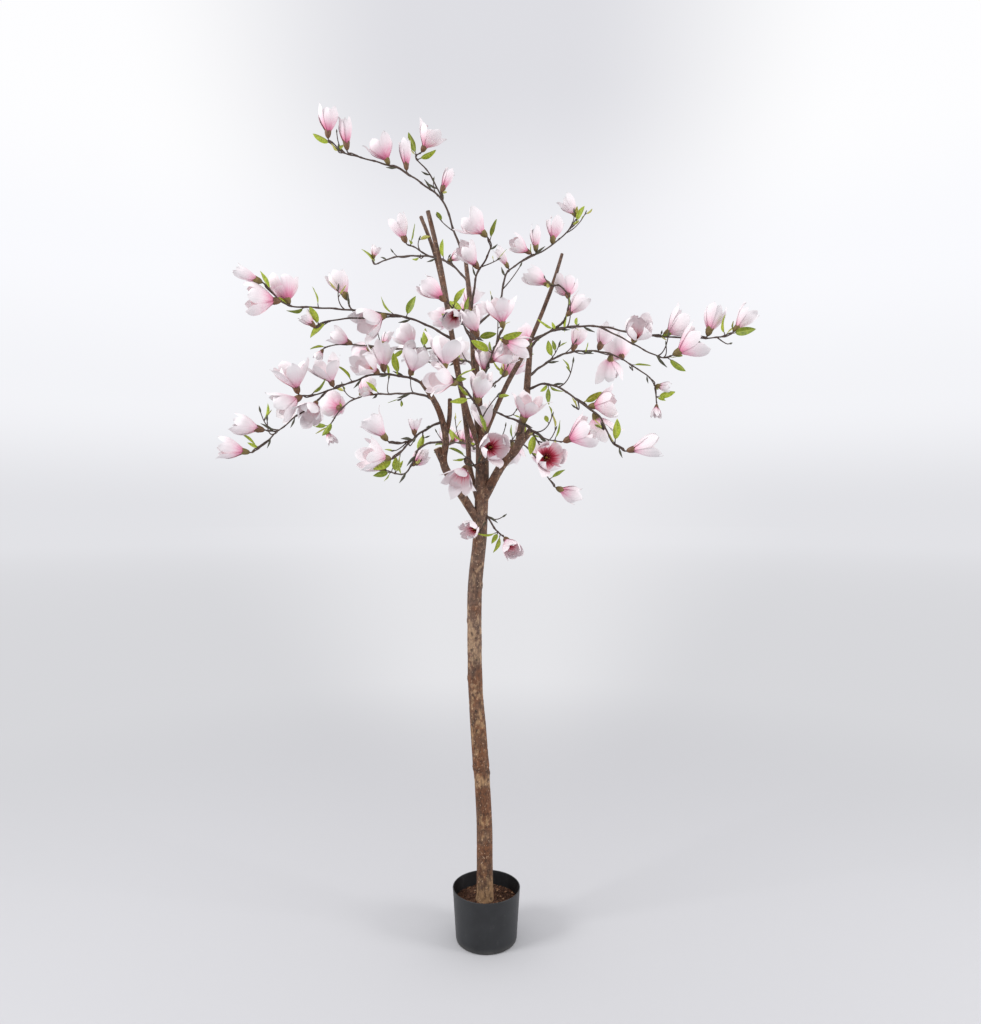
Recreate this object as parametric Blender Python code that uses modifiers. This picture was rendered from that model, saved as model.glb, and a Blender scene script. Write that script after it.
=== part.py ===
"""Artificial magnolia tree in a plain nursery pot.

A natural wood trunk stands in the filled pot and carries cut natural boughs and sticks. Moulded
sprays of magnolia, each a dark stem with twigs, blossoms and leaves, are set into the wood.
Metres, +Z up, with the origin at the middle of the pot's underside. The front is towards -Y.
"""
import math
import random
from collections import namedtuple

import bmesh
import bpy
import numpy as np
from mathutils import Matrix, Vector

TREE_NAME = "artificial_magnolia_tree"
SEAT_GAP = 0.0003
SEED = 40

# Pot and fill
POT_HEIGHT = 0.148
POT_RIM_RADIUS = 0.0965
POT_BASE_RADIUS = 0.087
POT_WALL = 0.0025
POT_FLOOR = 0.004
POT_FOOT_ROUND = 0.006
POT_STEPS = 32
FILL_TOP = 0.110
FILL_CROWN = 0.004
FILL_FLAT_RADIUS = 0.034
FILL_DISH = 0.001
FILL_SHOULDER = 0.020

# How round the tubes are, as steps in each quarter turn less one
TRUNK_ROUNDING = 4
LIMB_ROUNDING = 2
STEM_ROUNDING = 0
FOOT_BAND = 0.002

# Stems, twigs and leaves of the sprays
STEM_FOOT_RADIUS = 0.0040
STEM_TIP_RADIUS = 0.0022
SIDE_STEM_RADIUS = 0.0030
TWIG_ROOT_RADIUS = 0.0022
TWIG_TIP_RADIUS = 0.0017
TWIG_SIDES = 3
TWIG_SUNK = 0.002
LEAF_LENGTH = 0.060
LEAF_WIDTH = 0.020
LEAF_THICK = 0.0016
LEAF_FOLD = 0.0035
LEAF_BELT = 0.45
LEAF_SUNK = 0.001

# Blossoms: length, widest radius, twig length
Blossom = namedtuple("Blossom", "length radius twig")
BLOSSOMS = {
    "bud": Blossom(0.060, 0.0140, 0.018),
    "tulip": Blossom(0.064, 0.0230, 0.016),
    "open": Blossom(0.067, 0.0335, 0.014),
    "small": Blossom(0.036, 0.0135, 0.012),
}
FOOT_SIDES = 3
BELLY_SIDES = 6
RIM_SIDES = 12
FOOT_RADIUS = 0.0032

# Rings of a blossom, each as a share of its widest radius and a share of its length
BUD_RINGS = ((0.90, 0.26), (0.95, 0.58))
CUP_BELLY = (0.76, 0.25)
CUP_SHOULDER = (1.00, 0.57)
CUP_INSIDE = (0.76, 0.60)
CUP_HEART = 0.16
RIM_FLARE = {"open": 1.0, "tulip": 0.86}
NOTCH_RADIUS = 0.84
NOTCH_DROP = 0.24

# A limb is a name, the limb that carries it, and points of x, y, z and radius from foot to tip
Limb = namedtuple("Limb", "name carrier points stub")
TRUNK_FOOT = FILL_TOP + SEAT_GAP
LIMBS = [
    Limb("trunk", None, [
        (-0.004, 0.000, TRUNK_FOOT, 0.0270), (-0.004, 0.000, 0.150, 0.0235),
        (-0.007, 0.002, 0.354, 0.0222), (-0.020, 0.003, 0.560, 0.0230),
        (-0.031, 0.002, 0.707, 0.0212), (-0.034, 0.000, 0.853, 0.0206),
        (-0.033, -0.002, 1.000, 0.0202), (-0.019, -0.002, 1.145, 0.0202),
        (-0.013, 0.000, 1.284, 0.0192), (-0.013, 0.000, 1.420, 0.0186),
        (-0.023, 0.000, 1.520, 0.0140), (-0.034, 0.002, 1.660, 0.0108),
        (-0.045, 0.003, 1.800, 0.0080), (-0.060, 0.000, 1.949, 0.0056)], None),
    Limb("bough_left", "trunk", [
        (-0.018, 0.000, 1.185, 0.0125), (-0.061, -0.020, 1.255, 0.0122),
        (-0.099, -0.040, 1.314, 0.0118), (-0.120, -0.050, 1.361, 0.0108),
        (-0.113, -0.060, 1.421, 0.0094), (-0.125, -0.070, 1.484, 0.0086),
        (-0.145, -0.080, 1.530, 0.0078), (-0.180, -0.088, 1.580, 0.0062)],
        [(-0.117, -0.048, 1.352, 0.0100), (-0.137, -0.058, 1.398, 0.0112)]),
    Limb("bough_left_fork", "bough_left", [
        (-0.114, -0.060, 1.428, 0.0068), (-0.104, -0.042, 1.485, 0.0064),
        (-0.103, -0.028, 1.540, 0.0056)], None),
    Limb("bough_right", "trunk", [
        (-0.014, 0.000, 1.245, 0.0135), (0.039, -0.030, 1.345, 0.0130),
        (0.086, -0.050, 1.402, 0.0122), (0.098, -0.052, 1.455, 0.0108),
        (0.111, -0.050, 1.532, 0.0100), (0.117, -0.042, 1.606, 0.0090),
        (0.124, -0.032, 1.684, 0.0070)],
        [(0.092, -0.050, 1.408, 0.0098), (0.124, -0.034, 1.450, 0.0092)]),
    Limb("stick_front", "trunk", [
        (-0.016, 0.000, 1.395, 0.0082), (-0.054, -0.040, 1.502, 0.0080),
        (-0.082, -0.052, 1.621, 0.0076), (-0.101, -0.060, 1.747, 0.0072),
        (-0.128, -0.070, 1.911, 0.0066), (-0.161, -0.080, 2.051, 0.0058)], None),
    Limb("stick_back", "trunk", [
        (-0.016, 0.000, 1.225, 0.0080), (-0.048, 0.036, 1.349, 0.0078),
        (-0.058, 0.052, 1.462, 0.0076), (-0.094, 0.080, 1.703, 0.0070),
        (-0.150, 0.110, 1.975, 0.0062), (-0.200, 0.130, 2.120, 0.0055)], None),
    Limb("stick_right", "trunk", [
        (-0.012, 0.000, 1.425, 0.0078), (0.057, 0.032, 1.587, 0.0074),
        (0.124, 0.042, 1.713, 0.0068), (0.188, 0.050, 1.870, 0.0058),
        (0.223, 0.060, 1.982, 0.0048)], None),
]

# A spray is a mass of one or more stems. A stem's points run from foot to tip. Each shoot on it is
# its kind, how far along the stem it leaves, the clock angle that it faces as seen from the front
# (0 up, 90 to the right), and how far it leans towards the front, all angles in degrees.
Spray = namedtuple("Spray", "name carrier stems")
Stem = namedtuple("Stem", "points shoots")


FIRST_SHOOT = 0.30
DEALT_CLOCKS = (25, 43, 61)
DEALT_SWAY = 20
DEALT_TURN = 2.4


def dealt(first_clock, lean, kinds):
    """Shoots for a stem that the front view hardly shows: even along it, turning by a fixed step."""
    kinds = kinds.split()
    shoots = []
    for place, kind in enumerate(kinds):
        along = FIRST_SHOOT + (1 - FIRST_SHOOT) * (place + 1) / len(kinds)
        clock = first_clock + (-1) ** place * DEALT_CLOCKS[place % len(DEALT_CLOCKS)]
        shoots.append((kind, along, clock, lean + DEALT_SWAY * math.sin(DEALT_TURN * place)))
    return shoots


SPRAYS = [
    Spray("spray_top", "trunk", [
        Stem([(-0.058, 0.000, 1.938), (-0.090, -0.010, 2.015), (-0.123, -0.030, 2.100),
              (-0.183, -0.050, 2.142),
              (-0.246, -0.060, 2.178), (-0.332, -0.080, 2.195), (-0.395, -0.110, 2.201),
              (-0.425, -0.120, 2.224)],
             [("tulip", 1.0, 3, 8), ("leaf", 0.98, -40, 10), ("bud", 0.88, -3, 10), ("open", 0.66, -26, 12),
              ("bud", 0.56, -2, 15)]),
        Stem([(-0.123, -0.030, 2.105), (-0.164, -0.010, 2.189), (-0.202, 0.000, 2.236),
              (-0.190, 0.000, 2.250)],
             [("bud", 0.08, 24, 0), ("open", 1.0, 34, 15), ("leaf", 0.85, 75, 20),
              ("leaf", 0.92, -20, 30)])]),
    Spray("spray_upper_left", "trunk", [
        Stem([(-0.047, 0.003, 1.840), (-0.060, 0.020, 1.893), (-0.108, 0.060, 1.953),
              (-0.170, 0.090, 1.985),
              (-0.277, 0.140, 2.001), (-0.346, 0.190, 1.997), (-0.359, 0.200, 2.010)],
             [("small", 1.0, 20, 10), ("leaf", 0.97, -35, 10), ("small", 0.34, 65, 20),
              ("leaf", 0.38, -2, 20)]),
        Stem([(-0.172, 0.091, 1.986), (-0.213, 0.080, 2.008), (-0.232, 0.070, 2.012)],
             [("tulip", 1.0, -22, 0), ("leaf", 0.90, 12, 15)])]),
    Spray("spray_upper_front", "trunk", [
        Stem([(-0.044, 0.003, 1.800), (-0.035, -0.030, 1.843), (-0.028, -0.050, 1.882),
              (-0.001, -0.080, 1.919),
              (0.014, -0.110, 1.944), (0.006, -0.120, 1.960)],
             [("open", 1.0, -48, 12), ("leaf", 0.97, -5, 15), ("tulip", 0.52, -42, 35)])]),
    Spray("spray_upper_right", "trunk", [
        Stem([(-0.040, 0.002, 1.745), (0.012, 0.030, 1.800), (0.043, 0.050, 1.852), (0.057, 0.070, 1.923),
              (0.103, 0.100, 1.972), (0.188, 0.140, 2.029), (0.263, 0.180, 2.105), (0.284, 0.200, 2.140)],
             [("bud", 0.42, -30, 10), ("tulip", 0.60, -62, 20), ("bud", 0.62, -2, 0),
              ("tulip", 0.74, 10, 0),
              ("tulip", 1.0, -35, 5), ("leaf", 0.97, 2, 0)])]),
    Spray("spray_left_high", "stick_front", [
        Stem([(-0.093, -0.056, 1.701), (-0.157, -0.090, 1.731), (-0.232, -0.130, 1.748),
              (-0.375, -0.180, 1.752),
              (-0.462, -0.220, 1.747), (-0.511, -0.235, 1.750), (-0.550, -0.270, 1.788)],
             [("bud", 1.0, -66, 10), ("open", 0.89, -92, 20), ("open", 0.85, -45, -15),
              ("leaf", 0.72, -8, 0),
              ("leaf", 0.78, -80, -15), ("open", 0.37, -122, 25), ("leaf", 0.34, -50, 20),
              ("leaf", 0.28, 25, 20),
              ("leaf", 0.96, -110, 20)]),
        Stem([(-0.230, -0.129, 1.747), (-0.307, -0.150, 1.738), (-0.377, -0.170, 1.730),
              (-0.422, -0.180, 1.717),
              (-0.440, -0.190, 1.702)],
             [("small", 1.0, -45, 20), ("leaf", 0.96, -75, 40), ("leaf", 0.85, -130, 10)]),
        Stem([(-0.350, -0.171, 1.751), (-0.360, -0.166, 1.762), (-0.364, -0.163, 1.774)],
             [("tulip", 1.0, -24, 10)])]),
    Spray("spray_left_back", "stick_back", [
        Stem([(-0.097, 0.082, 1.715), (-0.175, 0.120, 1.718), (-0.268, 0.160, 1.724),
              (-0.395, 0.200, 1.745),
              (-0.485, 0.240, 1.755), (-0.525, 0.265, 1.750)],
             [("tulip", 0.74, -62, 0), ("small", 1.0, -150, 10), ("leaf", 0.97, -92, 0),
              ("open", 0.28, -35, -10),
              ("leaf", 0.22, 5, 0), ("leaf", 0.36, -125, 20), ("bud", 0.52, 12, -45),
              ("open", 0.60, -110, -55)])]),
    Spray("spray_left_main", "bough_left", [
        Stem([(-0.176, -0.087, 1.573), (-0.200, -0.092, 1.586), (-0.259, -0.110, 1.594),
              (-0.310, -0.130, 1.589),
              (-0.381, -0.150, 1.558), (-0.451, -0.180, 1.528), (-0.483, -0.195, 1.524)],
             [("open", 1.0, -12, 20), ("open", 0.97, -98, 15), ("leaf", 0.92, 50, 10),
              ("open", 0.72, -42, 25),
              ("leaf", 0.58, -35, 0), ("open", 0.34, -58, 40), ("tulip", 0.30, -8, -20),
              ("leaf", 0.20, -10, 20),
              ("open", 0.10, -30, 20)]),
        Stem([(-0.418, -0.166, 1.542), (-0.456, -0.180, 1.501), (-0.498, -0.200, 1.465),
              (-0.545, -0.210, 1.422),
              (-0.575, -0.220, 1.390), (-0.595, -0.230, 1.374)],
             [("open", 0.14, -85, 40), ("tulip", 1.0, -80, 15), ("leaf", 0.93, -48, 0)]),
        Stem([(-0.538, -0.209, 1.428), (-0.562, -0.215, 1.430)],
             [("tulip", 1.0, -78, 10)])]),
    Spray("spray_left_low_back", "bough_left", [
        Stem([(-0.145, -0.080, 1.530), (-0.192, -0.040, 1.553), (-0.269, 0.010, 1.561),
              (-0.361, 0.060, 1.564),
              (-0.425, 0.100, 1.542), (-0.465, 0.130, 1.504), (-0.490, 0.145, 1.474)],
             [("small", 1.0, 150, 10), ("leaf", 0.97, -85, 0), ("leaf", 0.92, -150, 20),
              ("small", 0.50, -80, 35),
              ("leaf", 0.46, -50, 0), ("tulip", 0.62, 20, -40), ("open", 0.80, -60, -50)])]),
    Spray("spray_left_front", "bough_left", [
        Stem([(-0.122, -0.068, 1.472), (-0.166, -0.110, 1.444), (-0.199, -0.160, 1.409),
              (-0.223, -0.200, 1.374),
              (-0.238, -0.225, 1.358)],
             [("open", 1.0, -80, 25), ("leaf", 0.97, -100, 0), ("leaf", 0.85, -130, 30),
              ("small", 0.50, 0, 0)]),
        Stem([(-0.197, -0.157, 1.411), (-0.231, -0.180, 1.400), (-0.250, -0.190, 1.402)],
             [("tulip", 1.0, -38, 10)])]),
    Spray("spray_low_left", "bough_left", [
        Stem([(-0.114, -0.058, 1.414), (-0.160, -0.020, 1.417), (-0.198, 0.020, 1.400),
              (-0.223, 0.060, 1.356),
              (-0.253, 0.090, 1.333), (-0.299, 0.120, 1.345)],
             [("tulip", 1.0, -70, 10), ("leaf", 0.96, -105, 30), ("leaf", 0.90, 10, 40),
              ("tulip", 0.62, 40, -50),
              ("leaf", 0.45, 20, 0)])]),
    Spray("spray_front_high", "trunk", [
        Stem([(-0.038, 0.002, 1.700), (-0.056, -0.060, 1.728), (-0.078, -0.140, 1.752),
              (-0.098, -0.190, 1.765)],
             [("tulip", 1.0, -52, 10), ("leaf", 0.88, 30, 20), ("tulip", 0.72, -160, 60),
              ("leaf", 0.60, -85, 20)]),
        Stem([(-0.058, -0.066, 1.730), (-0.036, -0.110, 1.700), (-0.020, -0.150, 1.680)],
             [("tulip", 1.0, -48, 20), ("leaf", 0.80, 80, 10)])]),
    Spray("spray_front_right", "trunk", [
        Stem([(-0.026, 0.000, 1.553), (-0.012, -0.070, 1.580), (0.008, -0.150, 1.622),
              (0.030, -0.220, 1.660),
              (0.042, -0.250, 1.680)],
             [("open", 1.0, -8, 20), ("open", 0.55, 60, 25), ("tulip", 0.36, 25, 30),
              ("leaf", 0.90, 80, 20),
              ("leaf", 0.70, -60, 10), ("tulip", 0.88, 80, -20)])]),
    Spray("spray_front_low", "trunk", [
        Stem([(-0.013, 0.000, 1.352), (0.002, -0.080, 1.392), (-0.008, -0.170, 1.462),
              (-0.048, -0.250, 1.526),
              (-0.100, -0.310, 1.560)],
             [("open", 1.0, 10, 20), ("open", 0.86, -80, 30), ("tulip", 0.64, 15, 30),
              ("tulip", 0.36, -10, 15),
              ("open", 0.24, 100, 70), ("leaf", 0.72, -100, 20), ("leaf", 0.92, 60, 0),
              ("leaf", 0.60, 165, 10)])]),
    Spray("spray_back_high", "trunk", [
        Stem([(-0.042, 0.003, 1.777), (-0.050, 0.100, 1.832), (-0.080, 0.240, 1.860),
              (-0.115, 0.360, 1.868),
              (-0.130, 0.430, 1.880)],
             dealt(-10, -30, "tulip leaf open leaf bud open leaf tulip"))]),
    Spray("spray_back_right", "trunk", [
        Stem([(-0.020, 0.000, 1.545), (0.016, 0.100, 1.600), (0.068, 0.240, 1.668), (0.118, 0.370, 1.742),
              (0.155, 0.470, 1.805)],
             dealt(10, -25, "open leaf bud open leaf tulip leaf open"))]),
    Spray("spray_back_left", "trunk", [
        Stem([(-0.031, 0.000, 1.625), (-0.056, 0.090, 1.672), (-0.111, 0.230, 1.700),
              (-0.185, 0.360, 1.722),
              (-0.235, 0.450, 1.760)],
             dealt(-20, -20, "leaf tulip open leaf open bud leaf tulip"))]),
    Spray("spray_back_low", "trunk", [
        Stem([(-0.013, 0.000, 1.376), (-0.035, 0.100, 1.413), (-0.075, 0.230, 1.440),
              (-0.125, 0.350, 1.450),
              (-0.155, 0.440, 1.435)],
             dealt(0, -35, "tulip leaf open leaf bud leaf open"))]),
    Spray("spray_right_high", "bough_right", [
        Stem([(0.123, -0.033, 1.679), (0.151, -0.040, 1.713), (0.198, -0.050, 1.731),
              (0.246, -0.070, 1.735),
              (0.322, -0.100, 1.726), (0.422, -0.130, 1.697), (0.541, -0.160, 1.682),
              (0.616, -0.190, 1.677),
              (0.637, -0.200, 1.684)],
             [("tulip", 1.0, 38, 10), ("leaf", 0.97, -12, 0), ("leaf", 1.0, 65, 45),
              ("tulip", 0.88, 20, -10),
              ("open", 0.68, 56, 12), ("small", 0.62, -20, -20), ("leaf", 0.16, -60, 20)]),
        Stem([(0.311, -0.096, 1.727), (0.365, -0.120, 1.693), (0.418, -0.150, 1.654),
              (0.460, -0.180, 1.626),
              (0.480, -0.198, 1.626)],
             [("open", 1.0, 60, 10), ("leaf", 0.95, 125, 0), ("open", 0.45, 12, 60)])]),
    Spray("spray_right_up", "stick_right", [
        Stem([(0.128, 0.043, 1.722), (0.184, 0.020, 1.744), (0.223, 0.000, 1.772), (0.236, -0.010, 1.826),
              (0.212, -0.010, 1.866), (0.192, -0.010, 1.866)],
             [("tulip", 1.0, -64, 10), ("leaf", 0.95, -80, -40), ("open", 0.72, -5, -30),
              ("tulip", 0.50, 20, 10),
              ("leaf", 0.60, 70, 0)])]),
    Spray("spray_right_back", "bough_right", [
        Stem([(0.116, -0.043, 1.600), (0.173, 0.020, 1.652), (0.229, 0.060, 1.687), (0.296, 0.100, 1.705),
              (0.381, 0.140, 1.704), (0.465, 0.180, 1.669), (0.525, 0.210, 1.631), (0.542, 0.235, 1.570)],
             [("tulip", 0.34, 22, 0), ("tulip", 0.50, 24, -10), ("open", 0.66, -10, -45),
              ("leaf", 0.72, 95, 10),
              ("small", 0.90, 95, 0), ("small", 1.0, -170, 20), ("leaf", 0.97, 75, 0),
              ("leaf", 0.22, -20, 0),
              ("open", 0.58, 150, -50)])]),
    Spray("spray_right_front", "bough_right", [
        Stem([(0.114, -0.048, 1.562), (0.157, -0.080, 1.574), (0.200, -0.120, 1.556),
              (0.245, -0.170, 1.513),
              (0.275, -0.200, 1.485), (0.298, -0.220, 1.457), (0.316, -0.250, 1.403),
              (0.342, -0.280, 1.374)],
             [("open", 0.56, 84, 15), ("open", 0.62, 104, -35), ("leaf", 0.52, 60, 0),
              ("tulip", 1.0, 78, 10),
              ("leaf", 0.92, 5, 0), ("leaf", 0.18, 175, 0)])]),
    Spray("spray_low_right", "trunk", [
        Stem([(-0.022, 0.000, 1.500), (0.005, -0.050, 1.512), (0.038, -0.100, 1.488),
              (0.075, -0.140, 1.467),
              (0.112, -0.180, 1.441), (0.147, -0.220, 1.411), (0.190, -0.248, 1.398)],
             [("open", 0.60, 15, 25), ("open", 1.0, 66, 10), ("leaf", 0.95, 15, 30),
              ("leaf", 0.75, -170, 10)]),
        Stem([(0.113, -0.181, 1.440), (0.140, -0.200, 1.395), (0.148, -0.205, 1.365)],
             [("open", 1.0, 100, 78), ("leaf", 0.90, 85, 10)])]),
    Spray("spray_low_back", "trunk", [
        Stem([(-0.013, 0.000, 1.393), (0.010, 0.040, 1.419), (0.061, 0.090, 1.433), (0.105, 0.130, 1.431),
              (0.154, 0.180, 1.389), (0.190, 0.215, 1.335), (0.215, 0.235, 1.303)],
             [("tulip", 1.0, 112, -10), ("open", 0.72, 40, -60), ("leaf", 0.92, 60, 0),
              ("tulip", 0.50, 0, -40),
              ("leaf", 0.60, 130, 0), ("tulip", 0.36, 160, -60)])]),
    Spray("spray_low", "trunk", [
        Stem([(-0.006, 0.000, 1.225), (0.019, -0.030, 1.181), (0.038, -0.060, 1.160),
              (0.047, -0.068, 1.154)],
             [("tulip", 1.0, 150, 50), ("leaf", 0.80, -105, 10), ("leaf", 0.90, -165, 20)])]),
    Spray("spray_low_front", "trunk", [
        Stem([(-0.013, 0.000, 1.318), (-0.040, -0.050, 1.361), (-0.056, -0.080, 1.372),
              (-0.054, -0.098, 1.352)],
             [("open", 1.0, -155, 35), ("leaf", 0.75, -60, 20)]),
        Stem([(-0.034, -0.040, 1.352), (0.000, -0.070, 1.365), (0.018, -0.085, 1.362)],
             [("tulip", 1.0, -60, 62)])]),
    Spray("spray_knot", "trunk", [
        Stem([(-0.016, 0.000, 1.160), (-0.024, -0.035, 1.172), (-0.020, -0.050, 1.176)],
             [("tulip", 1.0, -100, 62)])]),
]

# How a shoot looks for room, in degrees added to its clock angle, and the air kept round it
NUDGES = (0, 25, -25, 50, -50, 80, -80, 120)
AIR = 0.002
OWN_SHARE = 0.62
BALL_STEP = 0.008
PATH_STEPS = 2
MAIN_BEND = 0.35
SMALLEST, LARGEST = 0.92, 1.08

# Balls that stand for a twig, a leaf and a blossom: share along it, and share of its width
TWIG_BALLS = (0.35, 0.7, 1.0)
LEAF_BALLS = ((0.3, 0.55), (0.55, 0.55), (0.8, 0.55))
BLOSSOM_BALLS = ((0.25, 0.85), (0.5, 1.05), (0.78, 1.15))
SHARP_ANGLE = 40

BARK = (0.19, 0.13, 0.085, 1)
STICK_BARK = (0.23, 0.15, 0.09, 1)
STEM_BROWN = (0.07, 0.05, 0.038, 1)
PETAL_PINK = (0.85, 0.62, 0.66, 1)
LEAF_GREEN = (0.20, 0.36, 0.05, 1)
POT_BLACK = (0.016, 0.016, 0.017, 1)
FILL_BROWN = (0.16, 0.085, 0.05, 1)


def smooth(points, steps=PATH_STEPS):
    """The run of a smooth curve through the points, with any radius column carried along."""
    knots = np.array([points[0]] + list(points) + [points[-1]], dtype=float)
    run = []
    for a, b, c, d in zip(knots, knots[1:], knots[2:], knots[3:]):
        for step in range(steps):
            t = step / steps
            bend, twist = 2 * a - 5 * b + 4 * c - d, 3 * b - a - 3 * c + d
            run.append(0.5 * (2 * b + (c - a) * t + bend * t ** 2 + twist * t ** 3))
    run.append(knots[-1])
    return np.array(run)


def station(run, along):
    """The point and the direction at a share of the run's length."""
    steps = np.diff(run[:, :3], axis=0)
    lengths = np.linalg.norm(steps, axis=1)
    want = along * lengths.sum()
    for start, step, length in zip(run, steps, lengths):
        if want <= length + 1e-9:
            return Vector(start[:3] + step * want / length), Vector(step / length)
        want -= length
    return Vector(run[-1][:3]), Vector(steps[-1] / lengths[-1])


def stem_run(stem, foot_radius):
    """A stem's smooth run, with its radius tapering evenly to the tip."""
    run = smooth(stem.points)
    radii = np.linspace(foot_radius, STEM_TIP_RADIUS, len(run))
    return np.column_stack([run, radii])


def facing(clock, tilt):
    """The direction at a clock angle seen from the front, leaning towards the front by the tilt."""
    clock, tilt = math.radians(clock), math.radians(tilt)
    return Vector((math.sin(clock) * math.cos(tilt), -math.sin(tilt), math.cos(clock) * math.cos(tilt)))


def balls_along(run):
    """Balls that fill a tube, each as x, y, z and radius."""
    balls = []
    for start, end in zip(run, run[1:]):
        count = max(1, math.ceil(np.linalg.norm(end[:3] - start[:3]) / BALL_STEP))
        balls += [start + (end - start) * step / count for step in range(count)]
    return np.array(balls + [run[-1]])


def shoot_balls(kind, root, foot, way, size):
    """Balls that hold one shoot: its twig first, then what it carries."""
    twig = [(*root.lerp(foot, share), TWIG_ROOT_RADIUS) for share in TWIG_BALLS]
    if kind == "leaf":
        length, width, balls = LEAF_LENGTH * size, LEAF_WIDTH, LEAF_BALLS
    else:
        length, width, balls = BLOSSOMS[kind].length * size, BLOSSOMS[kind].radius * size, BLOSSOM_BALLS
    head = [(*(foot + way * length * share), width * part) for share, part in balls]
    return np.array(twig), np.array(head)


def is_clear(balls, taken, share=1.0):
    """Whether every ball stays off every taken ball."""
    if not len(taken):
        return True
    gaps = np.linalg.norm(balls[:, None, :3] - taken[None, :, :3], axis=2)
    return bool((gaps > share * (balls[:, None, 3] + taken[None, :, 3]) + AIR).all())


def twig_length(kind, size):
    """How long the twig under a shoot is."""
    return 0.0 if kind == "leaf" else BLOSSOMS[kind].twig * size


def grow():
    """The shoots of each spray that find room: kind, stem, root, foot, direction, size and roll."""
    taken = {limb.name: balls_along(smooth(limb.points)) for limb in LIMBS}
    for limb in LIMBS:
        if limb.stub:
            taken[limb.name + " stub"] = balls_along(np.array(limb.stub))
    for spray in SPRAYS:
        runs = [stem_run(stem, STEM_FOOT_RADIUS) for stem in spray.stems]
        taken[spray.name] = np.vstack([balls_along(run) for run in runs])
    grown = {}
    for order, spray in enumerate(SPRAYS):
        chance = random.Random(SEED + order)
        own_heads = np.empty((0, 4))
        grown[spray.name] = []
        for stem_place, stem in enumerate(spray.stems):
            run = stem_run(stem, STEM_FOOT_RADIUS)
            for kind, along, clock, tilt in stem.shoots:
                size, roll = chance.uniform(SMALLEST, LARGEST), chance.uniform(0, 360)
                root, heading = station(run, along)
                for nudge in NUDGES:
                    way = facing(clock + nudge, tilt)
                    foot = root + (heading * MAIN_BEND + way).normalized() * twig_length(kind, size)
                    twig, head = shoot_balls(kind, root, foot, way, size)
                    others = np.vstack([balls for name, balls in taken.items() if name != spray.name])
                    if is_clear(np.vstack([twig, head]), others) and is_clear(head, own_heads, OWN_SHARE):
                        grown[spray.name].append((kind, stem_place, root, foot, way, size, roll))
                        taken[spray.name] = np.vstack([taken[spray.name], twig, head])
                        own_heads = np.vstack([own_heads, head])
                        break
    return grown


def material(name, colour, roughness):
    """A plain surface of one colour."""
    made = bpy.data.materials.new(name)
    made.use_nodes = True
    shader = made.node_tree.nodes["Principled BSDF"]
    shader.inputs["Base Color"].default_value = colour
    shader.inputs["Roughness"].default_value = roughness
    made.diffuse_color = colour
    return made


def link(name, mesh, collection, surface=None):
    """A named object for a mesh, in a collection."""
    thing = bpy.data.objects.new(name, mesh)
    collection.objects.link(thing)
    if surface:
        mesh.materials.append(surface)
    return thing


def tube(name, run, rounding, collection, surface=None):
    """A tapering tube along a run of x, y, z and radius, closed at both ends."""
    curve = bpy.data.curves.new(name, "CURVE")
    curve.dimensions = "3D"
    curve.bevel_depth = 1.0
    curve.bevel_resolution = rounding
    curve.use_fill_caps = True
    spline = curve.splines.new("POLY")
    spline.points.add(len(run) - 1)
    for point, (x, y, z, radius) in zip(spline.points, run):
        point.co = (x, y, z, 1)
        point.radius = radius
    draft = link(name + "_curve", curve, collection)
    bpy.context.view_layer.update()
    mesh = bpy.data.meshes.new_from_object(draft.evaluated_get(bpy.context.evaluated_depsgraph_get()))
    bpy.data.objects.remove(draft)
    made = bmesh.new()
    made.from_mesh(mesh)
    bmesh.ops.remove_doubles(made, verts=made.verts, dist=0.00001)
    bmesh.ops.recalc_face_normals(made, faces=made.faces)
    made.to_mesh(mesh)
    made.free()
    return link(name, mesh, collection, surface)


def fattened(run):
    """The run of a limb's cutter: wider, and longer at both ends, by the gap left at a seat."""
    wide = run.copy()
    wide[:, 3] += SEAT_GAP
    for end, inner in ((0, 1), (-1, -2)):
        outward = run[end, :3] - run[inner, :3]
        wide[end, :3] += outward / np.linalg.norm(outward) * SEAT_GAP
    return wide


def loft(name, rings):
    """A closed mesh through rings of points, whose counts divide each other; one point is a tip."""
    made = bmesh.new()
    rows = [[made.verts.new(point) for point in ring] for ring in rings]
    for row, following in zip(rows, rows[1:]):
        count = max(len(row), len(following))
        for place in range(count):
            corners = [row[place * len(row) // count], row[(place + 1) * len(row) // count % len(row)],
                       following[(place + 1) * len(following) // count % len(following)],
                       following[place * len(following) // count]]
            made.faces.new(list(dict.fromkeys(corners)))
    for row in (rows[0], rows[-1]):
        if len(row) > 2:
            made.faces.new(row)
    bmesh.ops.recalc_face_normals(made, faces=made.faces)
    if made.calc_volume(signed=True) < 0:
        bmesh.ops.reverse_faces(made, faces=made.faces)
    mesh = bpy.data.meshes.new(name)
    made.to_mesh(mesh)
    made.free()
    return mesh


def ring(radius, height, sides, notch_radius=1.0, notch_drop=0.0):
    """Points round the axis, where every second one of a rim lies nearer the axis and lower."""
    points = []
    for place in range(sides):
        angle = 2 * math.pi * place / sides
        notched = sides == RIM_SIDES and place % 2
        reach = radius * (notch_radius if notched else 1.0)
        drop = notch_drop if notched else 0
        points.append((reach * math.cos(angle), reach * math.sin(angle), height - drop))
    return points


def cup_mesh(kind):
    """An open blossom along +Z: a hollow cup whose rim runs up to six petal tips."""
    length, radius = BLOSSOMS[kind].length, BLOSSOMS[kind].radius
    belly, shoulder, inside = (ring(width * radius, height * length, BELLY_SIDES)
                               for width, height in (CUP_BELLY, CUP_SHOULDER, CUP_INSIDE))
    rim = ring(RIM_FLARE[kind] * radius, length, RIM_SIDES, NOTCH_RADIUS, NOTCH_DROP * length)
    foot = ring(FOOT_RADIUS, 0, FOOT_SIDES)
    return loft(kind, [foot, belly, shoulder, rim, inside, [(0, 0, CUP_HEART * length)]])


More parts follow.
